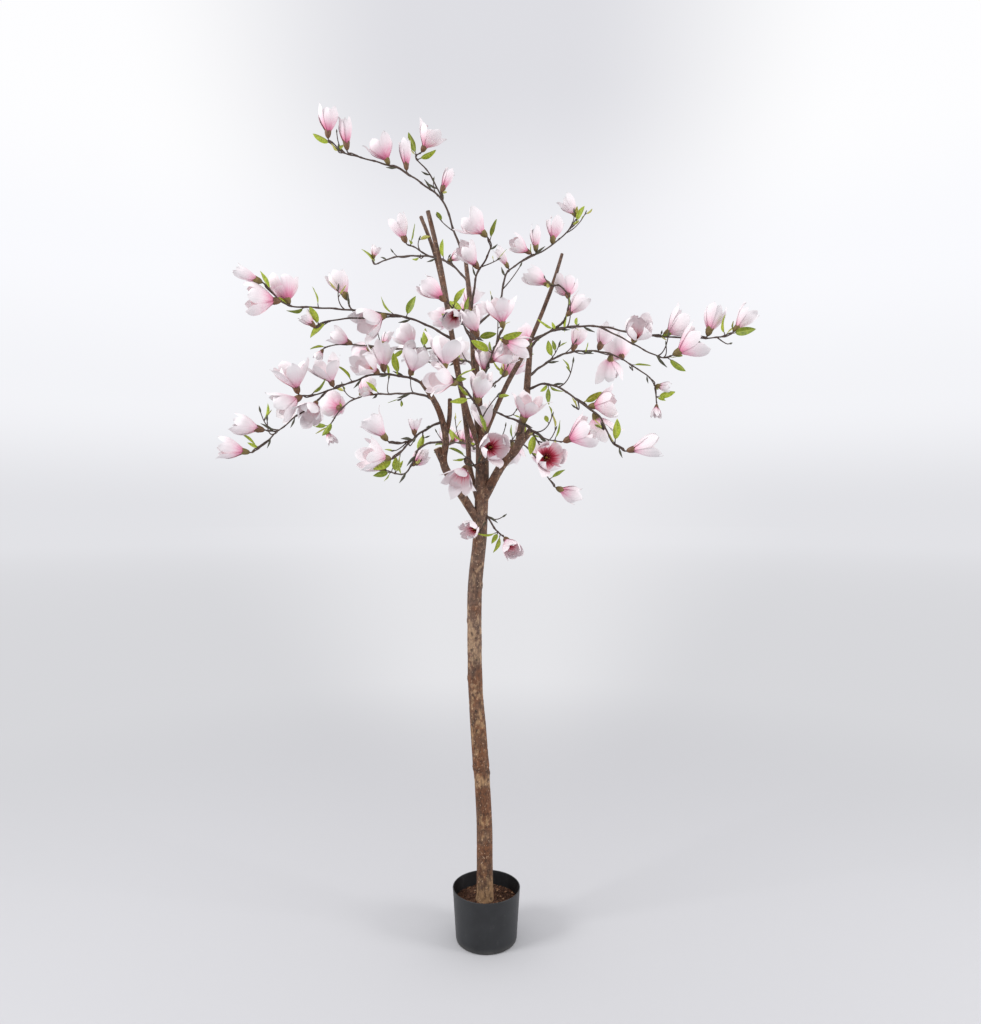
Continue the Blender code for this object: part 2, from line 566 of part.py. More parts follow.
def bud_mesh(kind):
    """A closed blossom along +Z."""
    length, radius = BLOSSOMS[kind].length, BLOSSOMS[kind].radius
    rings = [ring(width * radius, height * length, BELLY_SIDES) for width, height in BUD_RINGS]
    return loft(kind, [ring(FOOT_RADIUS, 0, FOOT_SIDES), *rings, [(0, 0, length)]])


def leaf_mesh():
    """A folded leaf along +Z, eight faces, thickest along its midrib."""
    middle = LEAF_BELT * LEAF_LENGTH
    belt = [(LEAF_WIDTH / 2, LEAF_FOLD, middle), (0, LEAF_THICK, middle),
            (-LEAF_WIDTH / 2, LEAF_FOLD, middle), (0, -LEAF_THICK / 2, middle)]
    return loft("leaf", [[(0, 0, -LEAF_SUNK)], belt, [(0, 0, LEAF_LENGTH)]])


def twig_mesh(root, foot):
    """A three-sided twig that tapers from the stem to what it carries."""
    reach = foot - root
    made = bmesh.new()
    turn = reach.to_track_quat("Z", "Y").to_matrix().to_4x4()
    middle = Matrix.Translation(root + reach * 0.5)
    bmesh.ops.create_cone(made, cap_ends=True, segments=TWIG_SIDES, radius1=TWIG_ROOT_RADIUS,
                          radius2=TWIG_TIP_RADIUS, depth=reach.length + 2 * TWIG_SUNK, matrix=middle @ turn)
    mesh = bpy.data.meshes.new("twig")
    made.to_mesh(mesh)
    made.free()
    return mesh


def largest_body(mesh):
    """Leaves only the largest closed body of a mesh, which drops scraps and fills sealed hollows."""
    made = bmesh.new()
    made.from_mesh(mesh)
    bmesh.ops.triangulate(made, faces=made.faces)
    unseen, bodies = set(made.faces), []
    while unseen:
        body, edge_of_search = set(), [unseen.pop()]
        while edge_of_search:
            face = edge_of_search.pop()
            body.add(face)
            near = {other for edge in face.edges for other in edge.link_faces} & unseen
            unseen -= near
            edge_of_search += near
        bodies.append(body)
    bodies.sort(key=len)
    bmesh.ops.delete(made, geom=[face for body in bodies[:-1] for face in body], context="FACES")
    made.to_mesh(mesh)
    made.free()


def fuse(pieces, cutter):
    """The mesh of the pieces joined into one body, and cut back from the limb that carries it."""
    base, others = pieces[0], pieces[1:]
    group = bpy.data.collections.new("joining")
    bpy.context.scene.collection.children.link(group)
    for piece in others:
        group.objects.link(piece)
    if others:
        join = base.modifiers.new("join", "BOOLEAN")
        join.operation = "UNION"
        join.operand_type = "COLLECTION"
        join.collection = group
        join.solver = "EXACT"
        join.material_mode = "TRANSFER"
    if cutter:
        seat = base.modifiers.new("seat", "BOOLEAN")
        seat.operation = "DIFFERENCE"
        seat.object = cutter
        seat.solver = "EXACT"
    bpy.context.view_layer.update()
    mesh = bpy.data.meshes.new_from_object(base.evaluated_get(bpy.context.evaluated_depsgraph_get()))
    for piece in pieces:
        bpy.data.objects.remove(piece)
    bpy.data.collections.remove(group)
    largest_body(mesh)
    return mesh


def shade(mesh):
    """Round pieces look smooth, with their sharp edges kept."""
    mesh.shade_smooth()
    mesh.set_sharp_from_angle(angle=math.radians(SHARP_ANGLE))


def turned(name, profile, steps, collection, surface):
    """A turned solid from a closed profile of radius and height that starts and ends on the axis."""
    mesh = bpy.data.meshes.new(name)
    points = [(radius, 0, height) for radius, height in profile]
    mesh.from_pydata(points, [(place, place + 1) for place in range(len(points) - 1)], [])
    thing = link(name, mesh, collection, surface)
    screw = thing.modifiers.new("turn", "SCREW")
    screw.steps, screw.render_steps = steps, steps
    screw.use_merge_vertices, screw.merge_threshold = True, 0.00001
    screw.use_smooth_shade = True
    return thing


def pot_inner_radius(height):
    """The radius inside the pot wall at a height."""
    share = height / POT_HEIGHT
    return POT_BASE_RADIUS + (POT_RIM_RADIUS - POT_BASE_RADIUS) * share - POT_WALL


def make_pot(collection):
    """A thin tapered pot with a rounded foot and a plain rim, its inside first and its outside last."""
    profile = [(0, POT_FLOOR), (pot_inner_radius(POT_FLOOR), POT_FLOOR)]
    profile += [(pot_inner_radius(POT_HEIGHT), POT_HEIGHT), (POT_RIM_RADIUS, POT_HEIGHT)]
    corner = POT_BASE_RADIUS - POT_FOOT_ROUND
    for step in range(5):
        angle = math.radians(22.5 * step)
        profile.append((corner + POT_FOOT_ROUND * math.cos(angle), POT_FOOT_ROUND * (1 - math.sin(angle))))
    profile.append((0, 0))
    turned("pot", profile, POT_STEPS, collection, material("pot_plastic", POT_BLACK, 0.45))


def make_fill(collection):
    """The weighted fill of the pot, flat round the trunk and a little higher towards the wall."""
    floor = POT_FLOOR + SEAT_GAP
    edge = FILL_TOP - FILL_CROWN
    profile = [(0, FILL_TOP), (FILL_FLAT_RADIUS, FILL_TOP),
               (pot_inner_radius(edge) - FILL_SHOULDER, FILL_TOP - FILL_DISH),
               (pot_inner_radius(edge) - SEAT_GAP, edge), (pot_inner_radius(floor) - SEAT_GAP, floor),
               (0, floor)]
    turned("pot_fill", profile, POT_STEPS, collection, material("bark_chips", FILL_BROWN, 0.95))


def flatten_foot(mesh):
    """Makes the trunk's foot one level cut on the fill."""
    for vertex in mesh.vertices:
        if vertex.co.z < TRUNK_FOOT + FOOT_BAND:
            vertex.co.z = TRUNK_FOOT


def make_limbs(collection, cutters):
    """The trunk and its boughs and sticks, each cut clear of the limb that carries it."""
    for limb in LIMBS:
        run = smooth(limb.points)
        rounding = TRUNK_ROUNDING if limb.name == "trunk" else LIMB_ROUNDING
        cutter = tube(limb.name + "_seat", fattened(run), rounding, cutters)
        cutter.hide_render = True
        cutter.display_type = "WIRE"
        colour = BARK if limb.name == "trunk" else STICK_BARK
        surface = material(limb.name + "_bark", colour, 0.85)
        body = tube(limb.name + "_body", run, rounding, collection, surface)
        pieces = [body]
        if limb.stub:
            pieces.append(tube(limb.name + "_stub", np.array(limb.stub), LIMB_ROUNDING, collection, surface))
            collection.objects.unlink(pieces[-1])
        mesh = fuse(pieces, cutters.objects.get(str(limb.carrier) + "_seat"))
        if limb.carrier is None:
            flatten_foot(mesh)
        shade(mesh)
        link(limb.name, mesh, collection)


def make_sprays(collection, cutters):
    """Each spray: stems, twigs, blossoms and leaves fused into one body, clear of its limb."""
    blossoms = {"bud": bud_mesh("bud"), "small": bud_mesh("small"), "tulip": cup_mesh("tulip"),
                "open": cup_mesh("open"), "leaf": leaf_mesh()}
    for kind, mesh in blossoms.items():
        mesh.materials.append(material(kind, LEAF_GREEN if kind == "leaf" else PETAL_PINK, 0.6))
    workshop = bpy.data.collections.new("workshop")
    bpy.context.scene.collection.children.link(workshop)
    grown = grow()
    for spray in SPRAYS:
        surface = material(spray.name + "_stem", STEM_BROWN, 0.7)
        pieces = []
        for place, stem in enumerate(spray.stems):
            run = stem_run(stem, SIDE_STEM_RADIUS if place else STEM_FOOT_RADIUS)
            pieces.append(tube(f"stem_{place}", run, STEM_ROUNDING, workshop, surface))
        for kind, _, root, foot, way, size, roll in grown[spray.name]:
            if kind != "leaf":
                pieces.append(link("twig", twig_mesh(root, foot), workshop, surface))
            head = link(kind, blossoms[kind].copy(), workshop)
            turn = way.to_track_quat("Z", "Y").to_matrix().to_4x4()
            head.data.transform(Matrix.Translation(foot) @ turn @ Matrix.Rotation(math.radians(roll), 4, "Z")
                                @ Matrix.Scale(size, 4))
            pieces.append(head)
        for piece in pieces:
            workshop.objects.unlink(piece)
        workshop.objects.link(pieces[0])
        mesh = fuse(pieces, cutters.objects[spray.carrier + "_seat"])
        mesh.name = spray.name
        link(spray.name, mesh, collection)


def main():
    """Clears the scene and builds the tree."""
    for thing in list(bpy.data.objects):
        bpy.data.objects.remove(thing)
    tree = bpy.data.collections.new(TREE_NAME)
    cutters = bpy.data.collections.new("cutters")
    bpy.context.scene.collection.children.link(tree)
    bpy.context.scene.collection.children.link(cutters)
    make_pot(tree)
    make_fill(tree)
    make_limbs(tree, cutters)
    make_sprays(tree, cutters)


main()
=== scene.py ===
"""Looks of the artificial magnolia tree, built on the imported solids.

The stems, twigs, blossoms and leaves follow the same rule as the solids, carried to finer forms.
Metres, +Z up, with the origin at the middle of the pot's underside. The front is towards -Y.
"""
import math
import random
from collections import namedtuple

import bmesh
import bpy
import numpy as np
from mathutils import Matrix, Vector, noise


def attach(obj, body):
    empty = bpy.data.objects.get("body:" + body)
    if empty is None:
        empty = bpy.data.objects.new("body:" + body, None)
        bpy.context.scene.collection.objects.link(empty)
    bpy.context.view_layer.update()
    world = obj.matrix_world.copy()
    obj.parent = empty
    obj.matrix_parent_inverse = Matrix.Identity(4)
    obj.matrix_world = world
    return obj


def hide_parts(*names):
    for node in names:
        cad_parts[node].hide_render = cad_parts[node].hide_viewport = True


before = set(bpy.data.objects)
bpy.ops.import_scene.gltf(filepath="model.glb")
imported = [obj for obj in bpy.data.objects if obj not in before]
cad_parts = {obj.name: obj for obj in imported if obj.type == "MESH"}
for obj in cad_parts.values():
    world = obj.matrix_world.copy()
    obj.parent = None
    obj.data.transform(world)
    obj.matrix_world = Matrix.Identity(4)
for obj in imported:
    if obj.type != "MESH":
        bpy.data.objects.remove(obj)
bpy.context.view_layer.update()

SEAT_GAP = 0.0003
# The growth's seed, and what is added to it for the forms and for the chips
SEED = 40
FORM_SEED = 500
CHIP_SEED = 900

# Pot and fill
POT_HEIGHT = 0.148
POT_RIM_RADIUS = 0.0965
POT_BASE_RADIUS = 0.087
POT_WALL = 0.0025
POT_FLOOR = 0.004
POT_FOOT_ROUND = 0.006
FILL_TOP = 0.110
FILL_CROWN = 0.004
FILL_FLAT_RADIUS = 0.034
FILL_DISH = 0.001
FILL_SHOULDER = 0.020

# Stems, twigs and leaves of the sprays
STEM_FOOT_RADIUS = 0.0040
STEM_TIP_RADIUS = 0.0022
SIDE_STEM_RADIUS = 0.0030
TWIG_ROOT_RADIUS = 0.0022
LEAF_LENGTH = 0.060
LEAF_WIDTH = 0.020

# Blossoms: length, widest radius, twig length, petal width, how much fuller than the solid, how open the
# outer whorl is at least and at most, the calyx's size, and the whorls: petals in each, their size, and
# how much less open they are than the outer ones
Blossom = namedtuple("Blossom", "length radius twig petal full opening calyx whorls")
BLOSSOMS = {
    "bud": Blossom(0.060, 0.0140, 0.018, 0.025, 1.16, (-0.20, 0.15), 0.90,
                   ((3, 1.00, 0.0), (3, 0.90, 0.15))),
    "tulip": Blossom(0.064, 0.0230, 0.016, 0.035, 1.15, (0.10, 0.65), 1.0,
                     ((3, 1.00, 0.0), (3, 0.93, 0.20), (2, 0.80, 0.45))),
    "open": Blossom(0.067, 0.0335, 0.014, 0.042, 1.13, (0.30, 0.80), 1.0,
                    ((3, 1.00, 0.0), (3, 0.93, 0.25), (3, 0.82, 0.55))),
    "small": Blossom(0.036, 0.0135, 0.012, 0.020, 1.12, (0.10, 0.60), 0.80,
                     ((3, 1.00, 0.0), (3, 0.90, 0.20))),
}


def metres(text):
    """Rows of sizes in metres from text in millimetres, with a comma after each row."""
    return [tuple(float(size) / 1000 for size in row.split()) for row in text.split(",")]


# A limb is a name, points of x, y, z and radius from foot to tip, and the same of its cut stub
Limb = namedtuple("Limb", "name points stub")
LIMBS = [
    Limb("trunk",
         [(-0.004, 0.0, FILL_TOP + SEAT_GAP, 0.027)]
         + metres("-4 0 150 23.5, -7 2 354 22.2, -20 3 560 23, -31 2 707 21.2, -34 0 853 20.6, "
                  "-33 -2 1000 20.2, -19 -2 1145 20.2, -13 0 1284 19.2, -13 0 1420 18.6, -23 0 1520 14, "
                  "-34 2 1660 10.8, -45 3 1800 8, -60 0 1949 5.6"),
         None),
    Limb("bough_left",
         metres("-18 0 1185 12.5, -61 -20 1255 12.2, -99 -40 1314 11.8, -120 -50 1361 10.8, "
                "-113 -60 1421 9.4, -125 -70 1484 8.6, -145 -80 1530 7.8, -180 -88 1580 6.2"),
         metres("-117 -48 1352 10, -137 -58 1398 11.2")),
    Limb("bough_left_fork",
         metres("-114 -60 1428 6.8, -104 -42 1485 6.4, -103 -28 1540 5.6"),
         None),
    Limb("bough_right",
         metres("-14 0 1245 13.5, 39 -30 1345 13, 86 -50 1402 12.2, 98 -52 1455 10.8, 111 -50 1532 10, "
                "117 -42 1606 9, 124 -32 1684 7"),
         metres("92 -50 1408 9.8, 124 -34 1450 9.2")),
    Limb("stick_front",
         metres("-16 0 1395 8.2, -54 -40 1502 8, -82 -52 1621 7.6, -101 -60 1747 7.2, -128 -70 1911 6.6, "
                "-161 -80 2051 5.8"),
         None),
    Limb("stick_back",
         metres("-16 0 1225 8, -48 36 1349 7.8, -58 52 1462 7.6, -94 80 1703 7, -150 110 1975 6.2, "
                "-200 130 2120 5.5"),
         None),
    Limb("stick_right",
         metres("-12 0 1425 7.8, 57 32 1587 7.4, 124 42 1713 6.8, 188 50 1870 5.8, 223 60 1982 4.8"),
         None),
]

# A spray is a mass of one or more stems. Its text has its name, and then for each stem a row of points
# from foot to tip in millimetres and a row of shoots. Each shoot is its kind, how far along the stem it
# leaves, the clock angle that it faces as seen from the front (0 up, 90 to the right), and how far it
# leans towards the front, all angles in degrees. A row that ends with a comma goes on in the next line.
# A row of dealt shoots has the first clock angle, the lean and the kinds.
Spray = namedtuple("Spray", "name stems")
Stem = namedtuple("Stem", "points shoots")
FIRST_SHOOT = 0.30
DEALT_CLOCKS = (25, 43, 61)
DEALT_SWAY = 20
DEALT_TURN = 2.4


def dealt(first_clock, lean, *kinds):
    """Shoots for a stem that the front view hardly shows: even along it, turning by a fixed step."""
    shoots = []
    for place, kind in enumerate(kinds):
        along = FIRST_SHOOT + (1 - FIRST_SHOOT) * (place + 1) / len(kinds)
        clock = int(first_clock) + (-1) ** place * DEALT_CLOCKS[place % len(DEALT_CLOCKS)]
        shoots.append((kind, along, clock, int(lean) + DEALT_SWAY * math.sin(DEALT_TURN * place)))
    return shoots


def read_spray(block):
    """A mass from its text."""
    name, *rows = block.replace(",\n", ", ").split("\n")
    stems = []
    for points, shoots in zip(rows[::2], rows[1::2]):
        if shoots.startswith("dealt"):
            shoots = dealt(*shoots.split()[1:])
        else:
            words = [shoot.split() for shoot in shoots.split(",")]
            shoots = [(kind, float(along), int(clock), int(lean)) for kind, along, clock, lean in words]
        stems.append(Stem(metres(points), shoots))
    return Spray("spray_" + name, stems)


SPRAYS = [read_spray(block) for block in """
top
-58 0 1938, -90 -10 2015, -123 -30 2100, -183 -50 2142, -246 -60 2178, -332 -80 2195, -395 -110 2201,
-425 -120 2224
tulip 1 3 8, leaf 0.98 -40 10, bud 0.88 -3 10, open 0.66 -26 12, bud 0.56 -2 15
-123 -30 2105, -164 -10 2189, -202 0 2236, -190 0 2250
bud 0.08 24 0, open 1 34 15, leaf 0.85 75 20, leaf 0.92 -20 30

upper_left
-47 3 1840, -60 20 1893, -108 60 1953, -170 90 1985, -277 140 2001, -346 190 1997, -359 200 2010
small 1 20 10, leaf 0.97 -35 10, small 0.34 65 20, leaf 0.38 -2 20
-172 91 1986, -213 80 2008, -232 70 2012
tulip 1 -22 0, leaf 0.9 12 15

upper_front
-44 3 1800, -35 -30 1843, -28 -50 1882, -1 -80 1919, 14 -110 1944, 6 -120 1960
open 1 -48 12, leaf 0.97 -5 15, tulip 0.52 -42 35

upper_right
-40 2 1745, 12 30 1800, 43 50 1852, 57 70 1923, 103 100 1972, 188 140 2029, 263 180 2105, 284 200 2140
bud 0.42 -30 10, tulip 0.6 -62 20, bud 0.62 -2 0, tulip 0.74 10 0, tulip 1 -35 5, leaf 0.97 2 0

left_high
-93 -56 1701, -157 -90 1731, -232 -130 1748, -375 -180 1752, -462 -220 1747, -511 -235 1750,
-550 -270 1788
bud 1 -66 10, open 0.89 -92 20, open 0.85 -45 -15, leaf 0.72 -8 0, leaf 0.78 -80 -15, open 0.37 -122 25,
leaf 0.34 -50 20, leaf 0.28 25 20, leaf 0.96 -110 20
-230 -129 1747, -307 -150 1738, -377 -170 1730, -422 -180 1717, -440 -190 1702
small 1 -45 20, leaf 0.96 -75 40, leaf 0.85 -130 10
-350 -171 1751, -360 -166 1762, -364 -163 1774
tulip 1 -24 10

left_back
-97 82 1715, -175 120 1718, -268 160 1724, -395 200 1745, -485 240 1755, -525 265 1750
tulip 0.74 -62 0, small 1 -150 10, leaf 0.97 -92 0, open 0.28 -35 -10, leaf 0.22 5 0, leaf 0.36 -125 20,
bud 0.52 12 -45, open 0.6 -110 -55

left_main
-176 -87 1573, -200 -92 1586, -259 -110 1594, -310 -130 1589, -381 -150 1558, -451 -180 1528,
-483 -195 1524
open 1 -12 20, open 0.97 -98 15, leaf 0.92 50 10, open 0.72 -42 25, leaf 0.58 -35 0, open 0.34 -58 40,
tulip 0.3 -8 -20, leaf 0.2 -10 20, open 0.1 -30 20
-418 -166 1542, -456 -180 1501, -498 -200 1465, -545 -210 1422, -575 -220 1390, -595 -230 1374
open 0.14 -85 40, tulip 1 -80 15, leaf 0.93 -48 0
-538 -209 1428, -562 -215 1430
tulip 1 -78 10

left_low_back
-145 -80 1530, -192 -40 1553, -269 10 1561, -361 60 1564, -425 100 1542, -465 130 1504, -490 145 1474
small 1 150 10, leaf 0.97 -85 0, leaf 0.92 -150 20, small 0.5 -80 35, leaf 0.46 -50 0, tulip 0.62 20 -40,
open 0.8 -60 -50

left_front
-122 -68 1472, -166 -110 1444, -199 -160 1409, -223 -200 1374, -238 -225 1358
open 1 -80 25, leaf 0.97 -100 0, leaf 0.85 -130 30, small 0.5 0 0
-197 -157 1411, -231 -180 1400, -250 -190 1402
tulip 1 -38 10

low_left
-114 -58 1414, -160 -20 1417, -198 20 1400, -223 60 1356, -253 90 1333, -299 120 1345
tulip 1 -70 10, leaf 0.96 -105 30, leaf 0.9 10 40, tulip 0.62 40 -50, leaf 0.45 20 0

front_high
-38 2 1700, -56 -60 1728, -78 -140 1752, -98 -190 1765
tulip 1 -52 10, leaf 0.88 30 20, tulip 0.72 -160 60, leaf 0.6 -85 20
-58 -66 1730, -36 -110 1700, -20 -150 1680
tulip 1 -48 20, leaf 0.8 80 10

front_right
-26 0 1553, -12 -70 1580, 8 -150 1622, 30 -220 1660, 42 -250 1680
open 1 -8 20, open 0.55 60 25, tulip 0.36 25 30, leaf 0.9 80 20, leaf 0.7 -60 10, tulip 0.88 80 -20

front_low
-13 0 1352, 2 -80 1392, -8 -170 1462, -48 -250 1526, -100 -310 1560
open 1 10 20, open 0.86 -80 30, tulip 0.64 15 30, tulip 0.36 -10 15, open 0.24 100 70, leaf 0.72 -100 20,
leaf 0.92 60 0, leaf 0.6 165 10

back_high
-42 3 1777, -50 100 1832, -80 240 1860, -115 360 1868, -130 430 1880
dealt -10 -30 tulip leaf open leaf bud open leaf tulip

back_right
-20 0 1545, 16 100 1600, 68 240 1668, 118 370 1742, 155 470 1805
dealt 10 -25 open leaf bud open leaf tulip leaf open

back_left
-31 0 1625, -56 90 1672, -111 230 1700, -185 360 1722, -235 450 1760
dealt -20 -20 leaf tulip open leaf open bud leaf tulip

back_low
-13 0 1376, -35 100 1413, -75 230 1440, -125 350 1450, -155 440 1435
dealt 0 -35 tulip leaf open leaf bud leaf open

right_high
123 -33 1679, 151 -40 1713, 198 -50 1731, 246 -70 1735, 322 -100 1726, 422 -130 1697, 541 -160 1682,
616 -190 1677, 637 -200 1684
tulip 1 38 10, leaf 0.97 -12 0, leaf 1 65 45, tulip 0.88 20 -10, open 0.68 56 12, small 0.62 -20 -20,
leaf 0.16 -60 20
311 -96 1727, 365 -120 1693, 418 -150 1654, 460 -180 1626, 480 -198 1626
open 1 60 10, leaf 0.95 125 0, open 0.45 12 60

right_up
128 43 1722, 184 20 1744, 223 0 1772, 236 -10 1826, 212 -10 1866, 192 -10 1866
tulip 1 -64 10, leaf 0.95 -80 -40, open 0.72 -5 -30, tulip 0.5 20 10, leaf 0.6 70 0

right_back
116 -43 1600, 173 20 1652, 229 60 1687, 296 100 1705, 381 140 1704, 465 180 1669, 525 210 1631,
542 235 1570
tulip 0.34 22 0, tulip 0.5 24 -10, open 0.66 -10 -45, leaf 0.72 95 10, small 0.9 95 0, small 1 -170 20,
leaf 0.97 75 0, leaf 0.22 -20 0, open 0.58 150 -50

right_front
114 -48 1562, 157 -80 1574, 200 -120 1556, 245 -170 1513, 275 -200 1485, 298 -220 1457, 316 -250 1403,
342 -280 1374
open 0.56 84 15, open 0.62 104 -35, leaf 0.52 60 0, tulip 1 78 10, leaf 0.92 5 0, leaf 0.18 175 0

low_right
-22 0 1500, 5 -50 1512, 38 -100 1488, 75 -140 1467, 112 -180 1441, 147 -220 1411, 190 -248 1398
open 0.6 15 25, open 1 66 10, leaf 0.95 15 30, leaf 0.75 -170 10
113 -181 1440, 140 -200 1395, 148 -205 1365
open 1 100 78, leaf 0.9 85 10

low_back
-13 0 1393, 10 40 1419, 61 90 1433, 105 130 1431, 154 180 1389, 190 215 1335, 215 235 1303
tulip 1 112 -10, open 0.72 40 -60, leaf 0.92 60 0, tulip 0.5 0 -40, leaf 0.6 130 0, tulip 0.36 160 -60

low
-6 0 1225, 19 -30 1181, 38 -60 1160, 47 -68 1154
tulip 1 150 50, leaf 0.8 -105 10, leaf 0.9 -165 20

low_front
-13 0 1318, -40 -50 1361, -56 -80 1372, -54 -98 1352
open 1 -155 35, leaf 0.75 -60 20
-34 -40 1352, 0 -70 1365, 18 -85 1362
tulip 1 -60 62

knot
-16 0 1160, -24 -35 1172, -20 -50 1176
tulip 1 -100 62
""".strip().split("\n\n")]

# How a shoot looks for room: degrees added to its clock angle in turn, the air kept round it, and the
# share of their widths that two heads of one mass keep apart. Then the step from ball to ball, the steps
# between two points of a run, how far a twig leans along its stem, and how shoots differ in size.
NUDGES = (0, 25, -25, 50, -50, 80, -80, 120)
AIR = 0.002
OWN_SHARE = 0.62
BALL_STEP = 0.008
PATH_STEPS = 2
MAIN_BEND = 0.35
SMALLEST, LARGEST = 0.92, 1.08

# Balls that stand for a twig, a leaf and a blossom: share along it, and share of its width
TWIG_BALLS = (0.35, 0.7, 1.0)
LEAF_BALLS = ((0.3, 0.55), (0.55, 0.55), (0.8, 0.55))
BLOSSOM_BALLS = ((0.25, 0.85), (0.5, 1.05), (0.78, 1.15))


def smooth(points, steps=PATH_STEPS):
    """The run of a smooth curve through the points, with any radius column carried along."""
    knots = np.array([points[0]] + list(points) + [points[-1]], dtype=float)
    run = []
    for a, b, c, d in zip(knots, knots[1:], knots[2:], knots[3:]):
        for step in range(steps):
            t = step / steps
            bend, twist = 2 * a - 5 * b + 4 * c - d, 3 * b - a - 3 * c + d
            run.append(0.5 * (2 * b + (c - a) * t + bend * t ** 2 + twist * t ** 3))
    run.append(knots[-1])
    return np.array(run)


def station(run, along):
    """The point and the direction at a share of the run's length."""
    steps = np.diff(run[:, :3], axis=0)
    lengths = np.linalg.norm(steps, axis=1)
    want = along * lengths.sum()
    for start, step, length in zip(run, steps, lengths):
        if want <= length + 1e-9:
            return Vector(start[:3] + step * want / length), Vector(step / length)
        want -= length
    return Vector(run[-1][:3]), Vector(steps[-1] / lengths[-1])


def stem_run(stem):
    """A stem's smooth run, with its radius tapering evenly to the tip."""
    run = smooth(stem.points)
    return np.column_stack([run, np.linspace(STEM_FOOT_RADIUS, STEM_TIP_RADIUS, len(run))])


def length_of(run):
    """How long a run is."""
    return np.linalg.norm(np.diff(run[:, :3], axis=0), axis=1).sum()


def facing(clock, tilt):
    """The direction at a clock angle seen from the front, leaning towards the front by the tilt."""
    clock, tilt = math.radians(clock), math.radians(tilt)
    return Vector((math.sin(clock) * math.cos(tilt), -math.sin(tilt), math.cos(clock) * math.cos(tilt)))


def balls_along(run):
    """Balls that fill a tube, each as x, y, z and radius."""
    balls = []
    for start, end in zip(run, run[1:]):
        count = max(1, math.ceil(np.linalg.norm(end[:3] - start[:3]) / BALL_STEP))
        balls += [start + (end - start) * step / count for step in range(count)]
    return np.array(balls + [run[-1]])


def shoot_balls(kind, root, foot, way, size):
    """Balls that hold one shoot: its twig first, then what it carries."""
    twig = [(*root.lerp(foot, share), TWIG_ROOT_RADIUS) for share in TWIG_BALLS]
    if kind == "leaf":
        length, width, balls = LEAF_LENGTH * size, LEAF_WIDTH, LEAF_BALLS
    else:
        length, width, balls = BLOSSOMS[kind].length * size, BLOSSOMS[kind].radius * size, BLOSSOM_BALLS
    head = [(*(foot + way * length * share), width * part) for share, part in balls]
    return np.array(twig), np.array(head)


def is_clear(balls, taken, share=1.0):
    """Whether every ball stays off every taken ball."""
    if not len(taken):
        return True
    gaps = np.linalg.norm(balls[:, None, :3] - taken[None, :, :3], axis=2)
    return bool((gaps > share * (balls[:, None, 3] + taken[None, :, 3]) + AIR).all())


def twig_length(kind, size):
    """How long the twig under a shoot is."""
    return 0.0 if kind == "leaf" else BLOSSOMS[kind].twig * size


def grow():
    """The shoots of each spray that find room, what each mass takes up, and the heads of each."""
    taken = {limb.name: balls_along(smooth(limb.points)) for limb in LIMBS}
    for limb in LIMBS:
        if limb.stub:
            taken[limb.name + " stub"] = balls_along(np.array(limb.stub))
    for spray in SPRAYS:
        taken[spray.name] = np.vstack([balls_along(stem_run(stem)) for stem in spray.stems])
    grown, heads = {}, {}
    for order, spray in enumerate(SPRAYS):
        chance = random.Random(SEED + order)
        own_heads = np.empty((0, 4))
        grown[spray.name] = []
        for stem_place, stem in enumerate(spray.stems):
            run = stem_run(stem)
            for kind, along, clock, tilt in stem.shoots:
                size, roll = chance.uniform(SMALLEST, LARGEST), chance.uniform(0, 360)
                root, heading = station(run, along)
                for nudge in NUDGES:
                    way = facing(clock + nudge, tilt)
                    foot = root + (heading * MAIN_BEND + way).normalized() * twig_length(kind, size)
                    twig, head = shoot_balls(kind, root, foot, way, size)
                    others = np.vstack([balls for name, balls in taken.items() if name != spray.name])
                    if is_clear(np.vstack([twig, head]), others) and is_clear(head, own_heads, OWN_SHARE):
                        grown[spray.name].append((kind, stem_place, along, root, foot, way, size, roll))
                        taken[spray.name] = np.vstack([taken[spray.name], twig, head])
                        own_heads = np.vstack([own_heads, head])
                        break
        heads[spray.name] = own_heads
    return grown, taken, heads


MAP = "OFBake"
TAU = 2 * math.pi


def linear(*colour):
    """A shader colour from one given as it looks on screen."""
    return tuple(c / 12.92 if c <= 0.04045 else ((c + 0.055) / 1.055) ** 2.4 for c in colour) + (1.0,)


def stand(name, data, place=(0, 0, 0), turn=(0, 0, 0)):
    """Puts an object of the given data into the scene."""
    thing = bpy.data.objects.new(name, data)
    thing.location = place
    thing.rotation_euler = turn
    bpy.context.scene.collection.objects.link(thing)
    return thing


